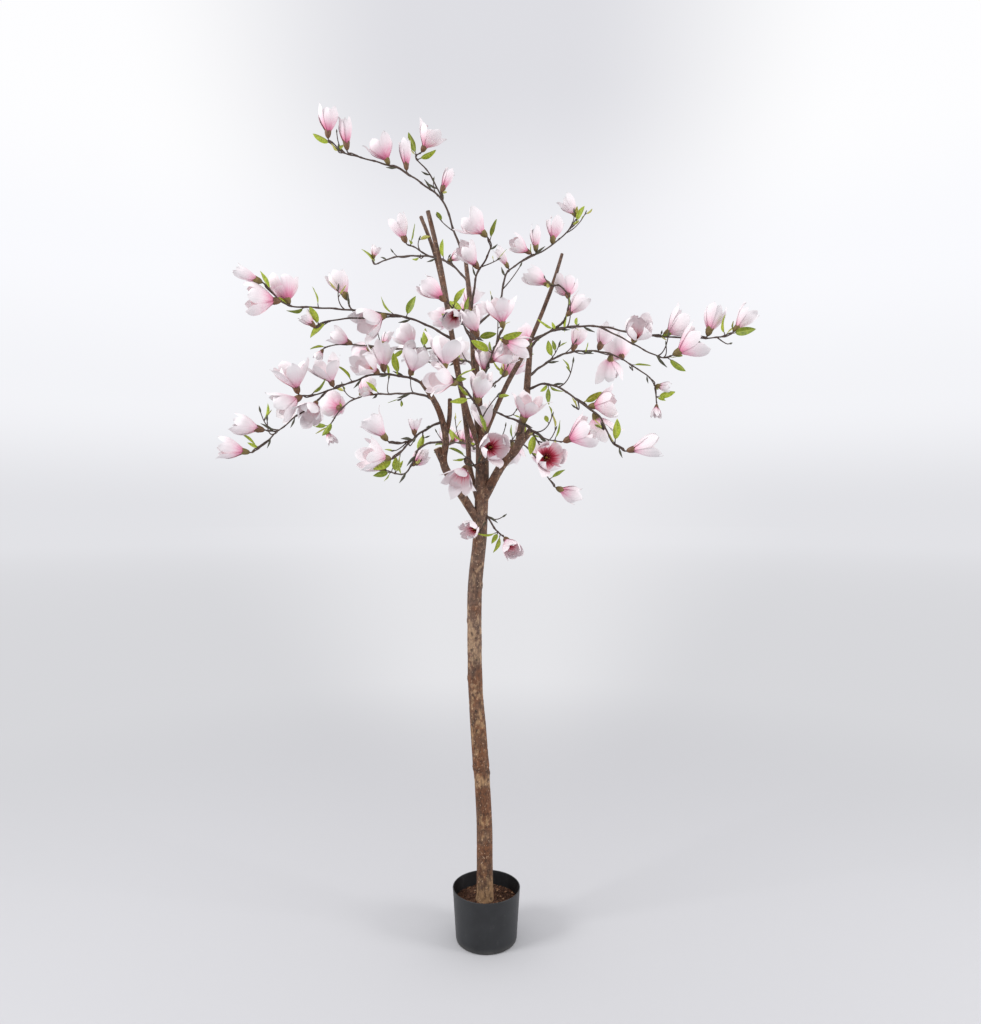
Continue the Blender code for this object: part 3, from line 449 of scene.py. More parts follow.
class Nodes:
    """A look's node tree, with helpers that add nodes to it."""

    def __init__(self, tree):
        self.tree = tree

    def node(self, kind, inputs=(), **settings):
        """Adds a node; inputs are pairs of a socket and the value or socket that feeds it."""
        made = self.tree.nodes.new("ShaderNode" + kind)
        for name, value in settings.items():
            setattr(made, name, value)
        for socket, value in inputs:
            if isinstance(value, bpy.types.NodeSocket):
                self.tree.links.new(value, made.inputs[socket])
            else:
                made.inputs[socket].default_value = value
        return made

    def calc(self, operation, *values):
        """The result of a Math node."""
        return self.node("Math", list(enumerate(values)), operation=operation).outputs[0]

    def times(self, first, second):
        """Two values multiplied."""
        return self.calc("MULTIPLY", first, second)

    def where(self):
        """The place in the object's own frame."""
        return self.node("TexCoord").outputs["Object"]

    def part(self, vector, axis):
        """One coordinate of a vector."""
        return self.node("SeparateXYZ", [(0, vector)]).outputs[axis]

    def ramp(self, factor, *stops, blend="LINEAR"):
        """A colour ramp; a stop is its place and its colour on screen, or its place and a plain factor."""
        made = self.node("ValToRGB", [(0, factor)])
        made.color_ramp.interpolation = blend
        points = made.color_ramp.elements
        while len(points) < len(stops):
            points.new(0.5)
        for point, (place, *colour) in zip(points, stops):
            point.position = place
            point.color = linear(*colour) if len(colour) == 3 else colour[0]
        return made.outputs[0]

    def fade(self, value, low, high):
        """A value eased from 0 at low to 1 at high."""
        made = self.node("MapRange", [(0, value), (1, low), (2, high)], interpolation_type="SMOOTHSTEP")
        return made.outputs[0]

    def mix(self, factor, *colours, blend="MIX"):
        """Two colours mixed, where three numbers are a colour on screen."""
        first, second = (linear(*c) if isinstance(c, tuple) and len(c) == 3 else c for c in colours)
        made = self.node("Mix", [(0, factor), (6, first), (7, second)], data_type="RGBA", blend_type=blend)
        return made.outputs[2]

    def tint(self, colour, mask, share, other):
        """A colour with another laid over it, by a share of what the mask says."""
        return self.mix(self.times(mask, share), colour, other)

    def noise(self, vector, scale, detail=2.0, rough=0.5, stretch=None):
        """A noise value over the given places."""
        if stretch:
            vector = self.node("Mapping", [(0, vector), (3, stretch)]).outputs[0]
        return self.node("TexNoise", [("Vector", vector), ("Scale", scale), ("Detail", detail),
                                      ("Roughness", rough)]).outputs[0]

    def places(self):
        """The two map coordinates."""
        split = self.node("SeparateXYZ", [(0, self.node("UVMap", uv_map=MAP).outputs[0])])
        return split.outputs[0], split.outputs[1]

    def plane(self, *places):
        """A vector of two or three coordinates, each as it is or with a factor."""
        scaled = [self.times(*place) if isinstance(place, tuple) else place for place in places]
        return self.node("CombineXYZ", list(enumerate(scaled))).outputs[0]

    def cell(self, value, count):
        """Which of so many cells a coordinate is in, and where in that cell."""
        wide = self.times(value, float(count))
        return self.calc("FLOOR", wide), self.calc("FRACT", wide)


class Surface(Nodes):
    """A material of one Principled shader."""

    def __init__(self, name, roughness, **constants):
        self.material = bpy.data.materials.new(name)
        self.material.use_nodes = True
        super().__init__(self.material.node_tree)
        self.shader = self.tree.nodes["Principled BSDF"]
        self.shader.inputs["Roughness"].default_value = roughness
        for socket, value in constants.items():
            self.shader.inputs[socket.replace("_", " ")].default_value = value

    def feed(self, socket, value):
        """Links a value to the shader."""
        self.tree.links.new(value, self.shader.inputs[socket])

    def bump(self, height, distance, strength=1.0):
        """Gives the surface relief."""
        made = self.node("Bump", [("Height", height), ("Distance", distance), ("Strength", strength)])
        self.feed("Normal", made.outputs[0])


class Heap:
    """Many small forms gathered into one mesh, all of four-cornered faces, with their map places."""

    def __init__(self):
        self.points, self.faces, self.places, self.extras, self.count = [], [], [], [], 0

    def add(self, points, faces, places, extra=None):
        """Adds a form: its points, its faces as rows of four, and each face corner's map place."""
        self.points.append(points)
        self.faces.append(faces + self.count)
        self.places.append(places)
        self.extras.append(extra)
        self.count += len(points)

    def piece(self, name, surface, slot, nodes=(), sharp=70):
        """The finished piece, riding on the tree."""
        points, faces = np.concatenate(self.points), np.concatenate(self.faces)
        mesh = bpy.data.meshes.new(name)
        mesh.vertices.add(len(points))
        mesh.vertices.foreach_set("co", points.astype(np.float32).ravel())
        mesh.loops.add(faces.size)
        mesh.loops.foreach_set("vertex_index", faces.astype(np.int32).ravel())
        mesh.polygons.add(len(faces))
        mesh.polygons.foreach_set("loop_start", np.arange(0, faces.size, 4, dtype=np.int32))
        mesh.update(calc_edges=True)
        layer = mesh.uv_layers.new(name=MAP)
        layer.data.foreach_set("uv", np.concatenate(self.places).astype(np.float32).ravel())
        if self.extras[0] is not None:
            tone = mesh.attributes.new("tone", "FLOAT_COLOR", "POINT")
            tone.data.foreach_set("color", np.concatenate(self.extras).astype(np.float32).ravel())
        mesh.shade_smooth()
        mesh.set_sharp_from_angle(angle=math.radians(sharp))
        mesh.materials.append(surface.material)
        thing = stand(name, mesh)
        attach(thing, "root")
        if nodes:
            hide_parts(*nodes)


def grid_faces(rows, columns, wraps=False):
    """The faces between the points of a grid, row by row, and each corner's place in the grid."""
    across = columns if wraps else columns - 1
    row, column = np.divmod(np.arange((rows - 1) * across), across)
    following = (column + 1) % columns
    faces = np.stack([row * columns + column, row * columns + following,
                      (row + 1) * columns + following, (row + 1) * columns + column], axis=1)
    u = np.stack([column, column + 1, column + 1, column], axis=1) / across
    v = np.stack([row, row, row + 1, row + 1], axis=1) / (rows - 1)
    return faces, np.stack([u, v], axis=2)


def capped(rows, sides):
    """The faces and places of a closed tube's skin, and the faces that close its two ends."""
    faces, places = grid_faces(rows, sides, wraps=True)
    ends = np.array([(k, k + 1, sides - 2 - k, sides - 1 - k) for k in range(sides // 2 - 1)])
    return faces, places, np.concatenate([ends[:, ::-1], ends + (rows - 1) * sides])


def doubled(rows, columns):
    """The faces and map places of a thin sheet's two layers, which share their border."""
    faces, places = grid_faces(rows, columns)
    index = np.arange(rows * columns).reshape(rows, columns)
    index[1:-1, 1:-1] = index.size + np.arange((rows - 2) * (columns - 2)).reshape(rows - 2, columns - 2)
    back = index.ravel()[faces][:, ::-1]
    return np.concatenate([faces, back]), np.concatenate([places, places[:, ::-1]])


def two_layers(sheet, thick):
    """The points of a thin sheet's outer layer, and of its inner one without the border."""
    return np.concatenate([sheet.reshape(-1, 3), (sheet - thick)[1:-1, 1:-1].reshape(-1, 3)])


def stance(foot, way, roll, size=1):
    """The matrix that stands a form on its foot, facing its way."""
    return np.array(Matrix.Translation(foot) @ way.to_track_quat("Z", "Y").to_matrix().to_4x4()
                    @ Matrix.Rotation(math.radians(roll), 4, "Z") @ Matrix.Scale(size, 4))


def circle(sides):
    """The cosine and sine of even angles round a circle."""
    angle = TAU * np.arange(sides) / sides
    return np.cos(angle), np.sin(angle)


def placed(points, turn):
    """Points moved and turned by a matrix."""
    return points @ turn[:3, :3].T + turn[:3, 3]


def rings(run, sides):
    """The directions outward all round a run at each of its points, turning as little as they can."""
    heading = np.gradient(run[:, :3], axis=0)
    heading /= np.linalg.norm(heading, axis=1)[:, None]
    side = np.cross(heading[0], (0.0, 1.0, 0.0) if abs(heading[0][1]) < 0.9 else (1.0, 0.0, 0.0))
    across = []
    for ahead in heading:
        side = side - ahead * side.dot(ahead)
        side /= np.linalg.norm(side)
        across.append(side)
    across = np.array(across)
    up = np.cross(heading, across)
    cosine, sine = circle(sides)
    return cosine[:, None] * across[:, None, :] + sine[:, None] * up[:, None, :]


def tube(heap, run, sides, cell=(0, 1, 0, 0.97), turn_every=0, relief=0, extra=None, strips=1):
    """Adds a closed tube along a run of x, y, z and radius. Its map place lies in the cell given as
    least and greatest u and v, and goes up and down it again every so many rows, or is laid out in
    strips side by side. Its ends lie just above the cell."""
    rows = len(run)
    reach = run[:, 3][:, None] * np.ones(sides) + relief
    points = (run[:, None, :3] + rings(run, sides) * reach[:, :, None]).reshape(-1, 3)
    faces, places, ends = capped(rows, sides)
    if turn_every:
        step = places[:, :, 1] * (rows - 1) / turn_every
        places[:, :, 1] = 1 - np.abs(1 - step % 2)
    if strips > 1:
        step = places[:, :, 1] * strips
        strip = np.floor(step.min(axis=1) + 1e-9)[:, None]
        places = np.stack([(strip + 0.02 + 0.96 * places[:, :, 0]) / strips, step - strip], axis=2)
    u0, u1, v0, v1 = cell
    places = places * (u1 - u0, v1 - v0) + (u0, v0)
    around = ends % sides * TAU / sides
    flat = np.stack([u0 + (u1 - u0) * (0.5 + 0.45 * np.cos(around)),
                     v1 + 0.015 + 0.012 * np.sin(around)], axis=2)
    heap.add(points, np.concatenate([faces, ends]), np.concatenate([places, flat]), extra)


PETAL_ROWS, PETAL_COLUMNS = 15, 9
PETAL_THICK = 0.0005
# Cells side by side in the petals' and the leaves' maps, each with its own tint
VARIANTS = 4

# How a petal stands when its blossom is shut and when it is wide open: share along it, how far out from
# the blossom's neck, and its height
SHUT = smooth([(0.00, 0.00, 0.00), (0.10, 0.03, 0.10), (0.22, 0.25, 0.22), (0.38, 0.62, 0.38),
               (0.56, 0.93, 0.57), (0.70, 1.00, 0.72), (0.86, 0.82, 0.89), (1.00, 0.50, 1.02)], 8)
WIDE = smooth([(0.00, 0.00, 0.00), (0.10, 0.03, 0.10), (0.22, 0.26, 0.22), (0.38, 0.63, 0.37),
               (0.56, 0.97, 0.54), (0.70, 1.18, 0.68), (0.86, 1.42, 0.82), (1.00, 1.62, 0.93)], 8)
# A petal's width along it, as a share of the greatest
OUTLINE = smooth([(0.00, 0.24), (0.14, 0.38), (0.34, 0.72), (0.50, 0.93), (0.62, 1.00), (0.74, 0.91),
                  (0.86, 0.62), (0.94, 0.32), (1.00, 0.03)], 8)
# A blossom's neck: share along a petal, and radius
NECK = ((0.0, 0.0025), (0.06, 0.0048), (0.12, 0.0055))
PETAL_FACES, PETAL_PLACES = doubled(PETAL_ROWS, PETAL_COLUMNS)
PETAL_PLACES = PETAL_PLACES * (0.92, 0.46) + (0.04, 0.02)
PETAL_PLACES[len(PETAL_PLACES) // 2:, :, 1] += 0.5


def petal(heap, turn, form, size, openness, way_round, variant, chance):
    """Adds one petal of a blossom that stands in the place and size that turn gives."""
    radius = form.radius * form.full
    length = form.length * size * form.full * chance.uniform(0.94, 1.05)
    v = np.linspace(0, 1, PETAL_ROWS)[:, None]
    u = np.linspace(-1, 1, PETAL_COLUMNS)[None, :]
    profile = SHUT * (1 - openness) + WIDE * openness
    spread, rise = (np.interp(v, profile[:, 0], profile[:, column]) for column in (1, 2))
    tip = np.clip((v - 0.72) / 0.28, 0, 1) ** 2
    curl = chance.uniform(-0.04, 0.17)
    neck = np.interp(v, *np.transpose(NECK)) * (0.6 + 0.4 * size)
    reach = neck + spread * (radius - NECK[-1][1]) * (0.15 + 0.85 * size)
    hug = (reach + 0.0015) * chance.uniform(0.85, 1.0)
    reach = reach + curl * length * tip
    rise = rise * length - abs(curl) * 0.45 * length * tip
    half = form.petal / 2 * np.interp(v, OUTLINE[:, 0], OUTLINE[:, 1]) * size * chance.uniform(0.84, 1.08)
    bend = np.clip(u * half / hug, -1.5, 1.5)
    grown = np.clip(v / 0.16, 0, 1)
    waves = np.sin(chance.uniform(0, TAU) + v * chance.uniform(6, 12) + u * chance.uniform(0, 2))
    ruffle = chance.uniform(0.0006, 0.0020) * waves * u ** 2 * v ** 1.5
    fold = -0.0010 * np.exp(-(u / 0.20) ** 2) * np.sin(math.pi * v) ** 0.5
    wrap = 0.0017 * u * grown
    out = reach - hug * (1 - np.cos(bend)) + (ruffle + fold + wrap)
    across = hug * np.sin(bend) + chance.uniform(-0.05, 0.05) * length * v ** 2
    middle = np.stack([out, across, rise + 0.0016 * waves * np.abs(u) * v ** 2], axis=2)
    along_v, along_u = np.gradient(middle, axis=0), np.gradient(middle, axis=1)
    normal = np.cross(along_u, along_v)
    normal /= np.linalg.norm(normal, axis=2)[:, :, None] + 1e-12
    points = two_layers(middle, normal * PETAL_THICK)
    cosine, sine = math.cos(way_round), math.sin(way_round)
    points = points @ np.array([[cosine, sine, 0], [-sine, cosine, 0], [0, 0, 1]])
    heap.add(placed(points, turn), PETAL_FACES, (PETAL_PLACES + (variant, 0)) / (VARIANTS, 1))


# A calyx's outline from its foot, over its three pointed lobes and down inside: radius, height and lobe
CALYX = ((0.0024, -0.0085, 0), (0.0040, -0.0072, 0), (0.0064, -0.0038, 0), (0.0079, 0.0002, 0),
         (0.0085, 0.0035, 0.0010), (0.0089, 0.0075, 0.0050), (0.0093, 0.0110, 0.0095),
         (0.0084, 0.0085, 0.0060), (0.0068, 0.0030, 0))
CALYX_SIDES = 12


def calyx(heap, turn, size, chance):
    """Adds the lobed cup that holds a blossom."""
    angle = TAU * np.arange(CALYX_SIDES) / CALYX_SIDES
    lobe = np.cos(1.5 * angle) ** 2 - 0.5
    longer = 1 + 0.3 * np.sin(angle + chance.uniform(0, TAU))
    rows = []
    for radius, height, point in CALYX:
        reach = radius * size * (1 + 0.05 * chance.uniform(-1, 1))
        rise = (height + point * lobe * longer) * (0.5 + 0.5 * size)
        rows.append(np.stack([reach * np.cos(angle), reach * np.sin(angle), rise], axis=1))
    faces, places, ends = capped(len(CALYX), CALYX_SIDES)
    places = np.concatenate([places, np.full(ends.shape + (2,), 0.05)])
    heap.add(placed(np.concatenate(rows), turn), np.concatenate([faces, ends]),
             places * (0.22, 1.0) + (chance.randrange(2) * 0.25 + 0.01, 0))


# Stamens of a blossom, the shares along one that carry its radii, and the core's heights and radii. The
# cells are least and greatest u and v in the map.
STAMENS = 14
STAMEN_SHARES = np.array([0.15, 0.6, 1.0])
STAMEN_RADII = (0.0008, 0.0009, 0.0005)
STAMEN_CELL, CORE_CELL = (0.52, 0.73, 0.02, 0.98), (0.77, 0.98, 0.02, 0.98)
CORE = np.array([(0, 0, 0.004, 0.0020), (0, 0, 0.012, 0.0032), (0, 0, 0.020, 0.0026),
                 (0, 0, 0.027, 0.0008)])


def heart(heap, turn, chance):
    """Adds the centre of an open blossom: a pointed core with a ring of stamens."""
    for place in range(STAMENS + 1):
        angle = TAU * place / STAMENS + chance.uniform(-0.15, 0.15)
        lean, long = chance.uniform(0.30, 0.52), chance.uniform(0.013, 0.019)
        reach = STAMEN_SHARES * long * math.sin(lean) + 0.0022
        rise = STAMEN_SHARES * long * math.cos(lean) + 0.004
        run = np.stack([reach * math.cos(angle), reach * math.sin(angle), rise, STAMEN_RADII], axis=1)
        sides, cell = 4, STAMEN_CELL
        if place == STAMENS:
            run, sides, cell = CORE.copy(), 8, CORE_CELL
        run[:, :3] = placed(run[:, :3], turn)
        tube(heap, run, sides, cell)


# Blossoms that face the front almost straight on are cupped
FACING_FRONT = -0.8
FACING_CUP = 0.45
# How often an outer petal of an open blossom has fallen further open, and by how much
FALLEN_CHANCE = 0.2
FALLEN_MORE = (0.2, 0.5)


def blossom(petals, trims, kind, foot, way, size, roll, variant, chance):
    """Adds a whole blossom at its foot, facing its way."""
    form, turn = BLOSSOMS[kind], stance(foot, way, roll, size)
    wide = FACING_CUP if way.y < FACING_FRONT else 1.0
    widest = chance.uniform(*form.opening) * wide
    for order, (count, share, less) in enumerate(form.whorls):
        for place in range(count):
            openness = widest - less * wide + chance.uniform(-0.07, 0.07)
            if kind == "open" and order == 0 and chance.random() < FALLEN_CHANCE:
                openness += chance.uniform(*FALLEN_MORE)
            way_round = TAU * (place + 0.5 * order + chance.uniform(-0.08, 0.08)) / count
            petal(petals, turn, form, share, openness, way_round, variant, chance)
    calyx(trims, turn, form.calyx * chance.uniform(0.94, 1.08), chance)
    if kind in ("open", "tulip"):
        heart(trims, turn, chance)


# A leaf's stalk: share along it, and radius
LEAF_ROWS, LEAF_COLUMNS = 11, 5
LEAF_STALK = ((0.0, 0.0019), (0.5, 0.0014), (1.0, 0.0012), (1.3, 0.0009))
LEAF_THICK = 0.0005
STALK = 0.010
STEM_CELL, BUD_CELL = (0.01, 0.61, 0.0, 0.96), (0.66, 0.98, 0.0, 0.96)
LEAF_FACES, LEAF_PLACES = doubled(LEAF_ROWS, LEAF_COLUMNS)


def leaf(heap, stalks, root, way, size, roll, slim, cell, chance):
    """Adds a leaf on a short stalk, arching a little and folded along its midrib."""
    foot = root + way * STALK * size
    stalk = [(*(root + way * (STALK * size * share)), radius) for share, radius in LEAF_STALK]
    tube(stalks, np.array(stalk), 6, STEM_CELL)
    v = np.linspace(0, 1, LEAF_ROWS)[:, None]
    u = np.linspace(-1, 1, LEAF_COLUMNS)[None, :]
    length = LEAF_LENGTH * size - STALK * size
    half = LEAF_WIDTH * size * slim / 2 * (np.sin(math.pi * np.clip(v, 0, 1) ** 0.85) ** 0.8 * 0.97 + 0.03)
    fold, arch = chance.uniform(0.25, 0.6), chance.uniform(-0.10, 0.30)
    wave = 0.0006 * np.sin(chance.uniform(0, TAU) + 9 * v) * u
    across = u * half
    lift = np.abs(u) * half * fold + wave - arch * length * v ** 2
    middle = np.stack([across + 0 * v, lift + 0 * u, v * length + 0 * u], axis=2)
    places = (LEAF_PLACES[:, ::-1] * (0.92, 0.96) + (0.04, 0.02) + (cell, 0)) / (VARIANTS, 1)
    points = placed(two_layers(middle, (0, LEAF_THICK, 0)), stance(foot, way, roll))
    heap.add(points, LEAF_FACES[:, ::-1], places)


# Bark: height, how much of it is pale where it has peeled, and how much is red brown
BARK_BANDS = [(0.11, 0.90, 0.35), (0.15, 0.80, 0.40), (0.19, 0.30, 0.60), (0.28, 0.15, 0.85),
              (0.345, 0.50, 0.60), (0.385, 0.15, 0.95), (0.425, 0.20, 0.85), (0.445, 0.75, 0.30),
              (0.478, 0.35, 0.50), (0.486, 0.10, 1.00), (0.54, 0.40, 0.95), (0.60, 0.40, 0.90),
              (0.645, 0.55, 0.70), (0.71, 0.50, 0.60), (0.765, 0.15, 0.80), (0.80, 0.70, 0.35),
              (0.89, 0.75, 0.35), (0.93, 0.35, 0.35), (1.00, 0.35, 0.30), (1.15, 0.35, 0.35),
              (1.40, 0.20, 0.45), (1.95, 0.12, 0.40)]
# Height of the ring where a strip of bark is peeled off
PEEL_RING = 0.483
# Knots: height, angle round the trunk in degrees, width and depth
KNOTS = [(0.205, 300, 0.007, 0.0030), (0.275, 290, 0.006, 0.0022), (0.487, 195, 0.005, 0.0040),
         (0.474, 345, 0.005, 0.0035), (0.655, 265, 0.008, 0.0030), (0.700, 250, 0.006, 0.0025),
         (0.745, 185, 0.006, 0.0030), (0.800, 285, 0.008, 0.0028), (0.862, 280, 0.006, 0.0022),
         (0.910, 180, 0.005, 0.0025), (1.010, 0, 0.006, 0.0030), (1.060, 120, 0.008, 0.0030),
         (0.600, 90, 0.008, 0.0030), (0.330, 60, 0.008, 0.0030), (1.180, 60, 0.007, 0.0028)]

# A limb's points all round, its steps from point to point, and how deep its bark is. Bark as deep as
# KNOTTY has the knots and the peeled ring, so only the trunk's has.
TRUNK_SIDES, TRUNK_STEPS, TRUNK_BARK = 80, 52, 0.0011
BOUGH_SIDES, BOUGH_STEPS, BOUGH_BARK = 32, 28, 0.0006
KNOTTY = 0.001


def noise_at(points, scale, stretch=(1, 1, 1)):
    """Smooth noise from -1 to 1 at each of many points."""
    return np.array([noise.noise(spot) for spot in (points * scale * stretch).tolist()])


def ease(values, low, high):
    """Values eased from 0 at low to 1 at high."""
    share = np.clip((values - low) / (high - low), 0, 1)
    return share * share * (3 - 2 * share)


def bark_relief(run, sides, depth):
    """How far the bark stands out at each point of a limb, and its tones: pale, red, dark and cut."""
    ring = rings(run, sides)
    points = (run[:, None, :3] + ring * run[:, 3][:, None, None]).reshape(-1, 3)
    height = points[:, 2]
    lumps = noise_at(points, 16, (1, 1, 0.6))
    furrows = noise_at(points, 95, (1, 1, 0.14))
    plates = 0.55 * noise_at(points, 48, (1, 1, 0.6)) + 0.7 * noise_at(points, 135, (1, 1, 0.55))
    plates += 0.4 * noise_at(points, 300, (1, 1, 0.7))
    pits = ease(noise_at(points + 3, 88, (1, 1, 0.8)), 0.42, 0.62)
    bands = np.array(BARK_BANDS)
    pale = ease(plates + 1.5 * (np.interp(height, bands[:, 0], bands[:, 1]) - 0.5), -0.12, 0.38)
    reds = noise_at(points + 7, 26) + 0.6 * noise_at(points + 7, 90, (1, 1, 0.5))
    red = ease(reds + 1.6 * (np.interp(height, bands[:, 0], bands[:, 2]) - 0.5), -0.50, 0.75)
    relief = depth * (1.3 * lumps + 0.35 * furrows - 0.45 * pale - 0.8 * pits)
    dark = np.maximum(pits, 0.5 * ease(furrows, 0.25, 0.6))
    if depth >= KNOTTY:
        bearing = np.degrees(np.arctan2(ring[:, :, 1], ring[:, :, 0])).ravel() % 360
        for level, direction, width, rise in KNOTS:
            turned_by = (bearing - direction + 180) % 360 - 180
            far = np.hypot((height - level) / 1.2, np.radians(turned_by) * 0.022) / width
            relief += rise * (np.exp(-far ** 2) - 0.75 * np.exp(-(far / 0.42) ** 2))
            dark = np.maximum(dark, ease(-far, -0.62, -0.25))
        near_ring = (height - PEEL_RING - 0.0035 * np.sin(np.radians(bearing) * 2 + 1)) / 0.0022
        relief -= 0.0011 * np.exp(-near_ring ** 2)
        relief += 0.0008 * ease(near_ring, 0, 3) * ease(-near_ring, -14, -3)
        dark = np.maximum(dark, 0.9 * np.exp(-near_ring ** 2))
    tones = np.stack([pale, red, dark, np.zeros(len(points))], axis=1)
    return relief.reshape(len(run), sides), tones


def limb_tube(heap, points, sides, steps, depth, cell, strips=1):
    """Adds a limb with its bark and a cut end."""
    run = smooth(points, steps)
    end = run[-1].copy()
    heading = run[-1, :3] - run[-2, :3]
    end[:3] += heading / np.linalg.norm(heading) * 0.0009
    end[3] *= 0.84
    relief, tones = bark_relief(run, sides, depth)
    relief = np.vstack([relief, 0.3 * relief[-1:]])
    cut = np.tile((0.0, 0.0, 0.0, 1.0), (sides, 1))
    extra = np.vstack([tones, cut])
    tube(heap, np.vstack([run, end]), sides, cell, relief=relief, extra=extra, strips=strips)


def make_wood():
    """The trunk and the boughs and sticks, with their bark in relief."""
    bark = Surface("bark", 0.82)
    where = bark.where()
    tone = bark.node("Attribute", attribute_name="tone")
    split = bark.node("SeparateColor", [(0, tone.outputs["Color"])])
    fine = bark.noise(where, 200, 3, 0.6, (1, 1, 0.5))
    broad = bark.noise(where, 38, 2)
    colour = bark.mix(split.outputs[1], (0.395, 0.305, 0.255), (0.40, 0.262, 0.178))
    pale = bark.mix(broad, (0.68, 0.56, 0.44), (0.57, 0.47, 0.38))
    colour = bark.tint(colour, split.outputs[0], 0.8, pale)
    colour = bark.tint(colour, split.outputs[2], 0.8, (0.19, 0.13, 0.10))
    patches = bark.ramp(bark.noise(where, 95, 3, 0.7, (1, 1, 0.85)), (0.34, (0.48, 0.43, 0.38, 1)),
                        (0.50, (0.95, 0.95, 0.94, 1)), (0.66, (1.45, 1.42, 1.36, 1)))
    blotched = bark.calc("MULTIPLY_ADD", split.outputs[0], -0.4, 0.9)
    colour = bark.mix(blotched, colour, patches, blend="MULTIPLY")
    height = bark.part(where, 2)
    colour = bark.mix(bark.fade(height, 0.85, 0.60), colour, (1.0, 0.93, 0.78, 1), blend="MULTIPLY")
    flecks = bark.fade(bark.noise(where, 210, 2, 0.6, (1, 1, 0.8)), 0.62, 0.70)
    colour = bark.tint(colour, flecks, 0.7, (0.78, 0.66, 0.55))
    shades = bark.ramp(fine, (0.28, (0.48, 0.45, 0.43, 1)), (0.5, (0.98, 0.97, 0.96, 1)),
                       (0.72, (1.40, 1.36, 1.32, 1)))
    colour = bark.mix(0.7, colour, shades, blend="MULTIPLY")
    wood = bark.ramp(bark.noise(where, 420, 2), (0.35, 0.62, 0.50, 0.38), (0.65, 0.76, 0.66, 0.53))
    colour = bark.mix(tone.outputs["Alpha"], colour, wood)
    bark.feed("Base Color", colour)
    bark.feed("Roughness", bark.calc("MULTIPLY_ADD", fine, 0.3, 0.62))
    bark.bump(fine, 0.0012, 0.8)
    trunk, boughs = Heap(), Heap()
    others = [limb for limb in LIMBS if limb.name != "trunk"]
    stubs = [limb.stub for limb in others if limb.stub]
    limb_tube(trunk, LIMBS[0].points, TRUNK_SIDES, TRUNK_STEPS, TRUNK_BARK, (0, 1, 0, 0.97), 4)
    count = len(others) + len(stubs)
    for place, points in enumerate([limb.points for limb in others] + stubs):
        cell = (place / count, (place + 0.96) / count, 0, 0.97)
        limb_tube(boughs, points, BOUGH_SIDES, BOUGH_STEPS, BOUGH_BARK, cell)
    trunk.piece("trunk_bark", bark, "bark", ["trunk"])
    boughs.piece("bough_bark", bark, "bough_wood", [limb.name for limb in others])


GROUPS = {
    "upper": "top upper_left upper_front upper_right",
    "left": "left_high left_back left_main left_low_back left_front low_left",
    "front": "front_high front_right front_low low low_front knot",
    "back": "back_high back_right back_left back_low low_back",
    "right": "right_high right_up right_back right_front low_right",
}
# A stem's sides, how far apart its nodes are, and how thick and how long the swelling of each is
STEM_SIDES = 8
NODE_SPACING = (0.028, 0.052)
NODE_SWELL, NODE_LENGTH = 0.0008, 0.0035
# Radii along a blossom's twig, a scale bud and a side twig
TWIG_RADII = (0.0027, 0.0022, 0.0018, 0.0017, 0.0021, 0.0017, 0.0018, 0.0022)
BUD_RADII = np.array([0.0014, 0.0014, 0.0022, 0.0031, 0.0033, 0.0027, 0.0016, 0.0005])
SIDE_TWIG_RADII = (0.0022, 0.0017, 0.0015, 0.0014, 0.0014)
BUD_LENGTH = 0.024
# How often a blossom has leaflets, the share of their widths that leaves of one place keep apart, a
# stem's points for each scale bud, and its length for each side twig with the lengths that those have
LEAFLET_CHANCE = 0.22
LEAVES_SHARE = 0.42
KNOTS_PER_BUD = 2.6
TWIG_SPACING = 0.10
TWIG_LENGTHS = (0.030, 0.080)


def twist(way, heading, degrees, towards):
    """A direction turned round a stem and leant along it."""
    return (Matrix.Rotation(math.radians(degrees), 3, heading) @ way + heading * towards).normalized()


def draws(chance, count, least, most):
    """So many random numbers of a range."""
    return np.array([chance.uniform(least, most) for _ in range(count)])


def off_side(heading, chance, *lean):
    """A direction that leaves a stem on any side, leant along it by a share, or by one of a range."""
    side = heading.orthogonal().normalized()
    return twist(side, heading, chance.uniform(0, 360), chance.uniform(*lean) if len(lean) > 1 else lean[0])


def leaflets(leaves, stems, foot, way, chance):
    """Adds one or two small leaves at the foot of a blossom."""
    for _ in range(chance.choice((1, 1, 2))):
        direction = off_side(way, chance, 0.5, 1.4)
        size, slim = chance.uniform(0.42, 0.58), chance.uniform(1.0, 1.3)
        cell = chance.choice((0, 1, 3))
        leaf(leaves, stems, foot - way * 0.010, direction, size, chance.uniform(0, 360), slim, cell, chance)


def stem_form(heap, stem, place, roots, chance):
    """Adds a stem, swollen where shoots leave it and at nodes between them."""
    run = smooth(stem.points, 12)
    lengths = np.concatenate([[0], np.cumsum(np.linalg.norm(np.diff(run, axis=0), axis=1))])
    foot = SIDE_STEM_RADIUS if place else STEM_FOOT_RADIUS
    radii = np.interp(lengths / lengths[-1], (0, 0.12, 1), (foot, 0.78 * foot, 0.80 * STEM_TIP_RADIUS))
    spots = [along * lengths[-1] for along in roots]
    at = 0.02
    while at < lengths[-1]:
        spots.append(at)
        at += chance.uniform(*NODE_SPACING)
    for spot in spots:
        radii = radii + NODE_SWELL * np.exp(-((lengths - spot) / NODE_LENGTH) ** 2)
    grooves = draws(chance, 2 * STEM_SIDES, -1, 1).reshape(2, STEM_SIDES)
    mixing = 0.5 + 0.5 * np.sin(lengths * 70)[:, None]
    relief = 0.00035 * (grooves[0] * mixing + grooves[1] * (1 - mixing))
    bow = 0.0008 * np.sin(lengths[:, None] * (95, 80, 110) + draws(chance, 3, 0, TAU))
    run = run + bow * np.clip(np.minimum(lengths, lengths[-1] - lengths) / 0.03, 0, 1)[:, None]
    tube(heap, np.column_stack([run, radii]), STEM_SIDES, STEM_CELL, 18, relief)


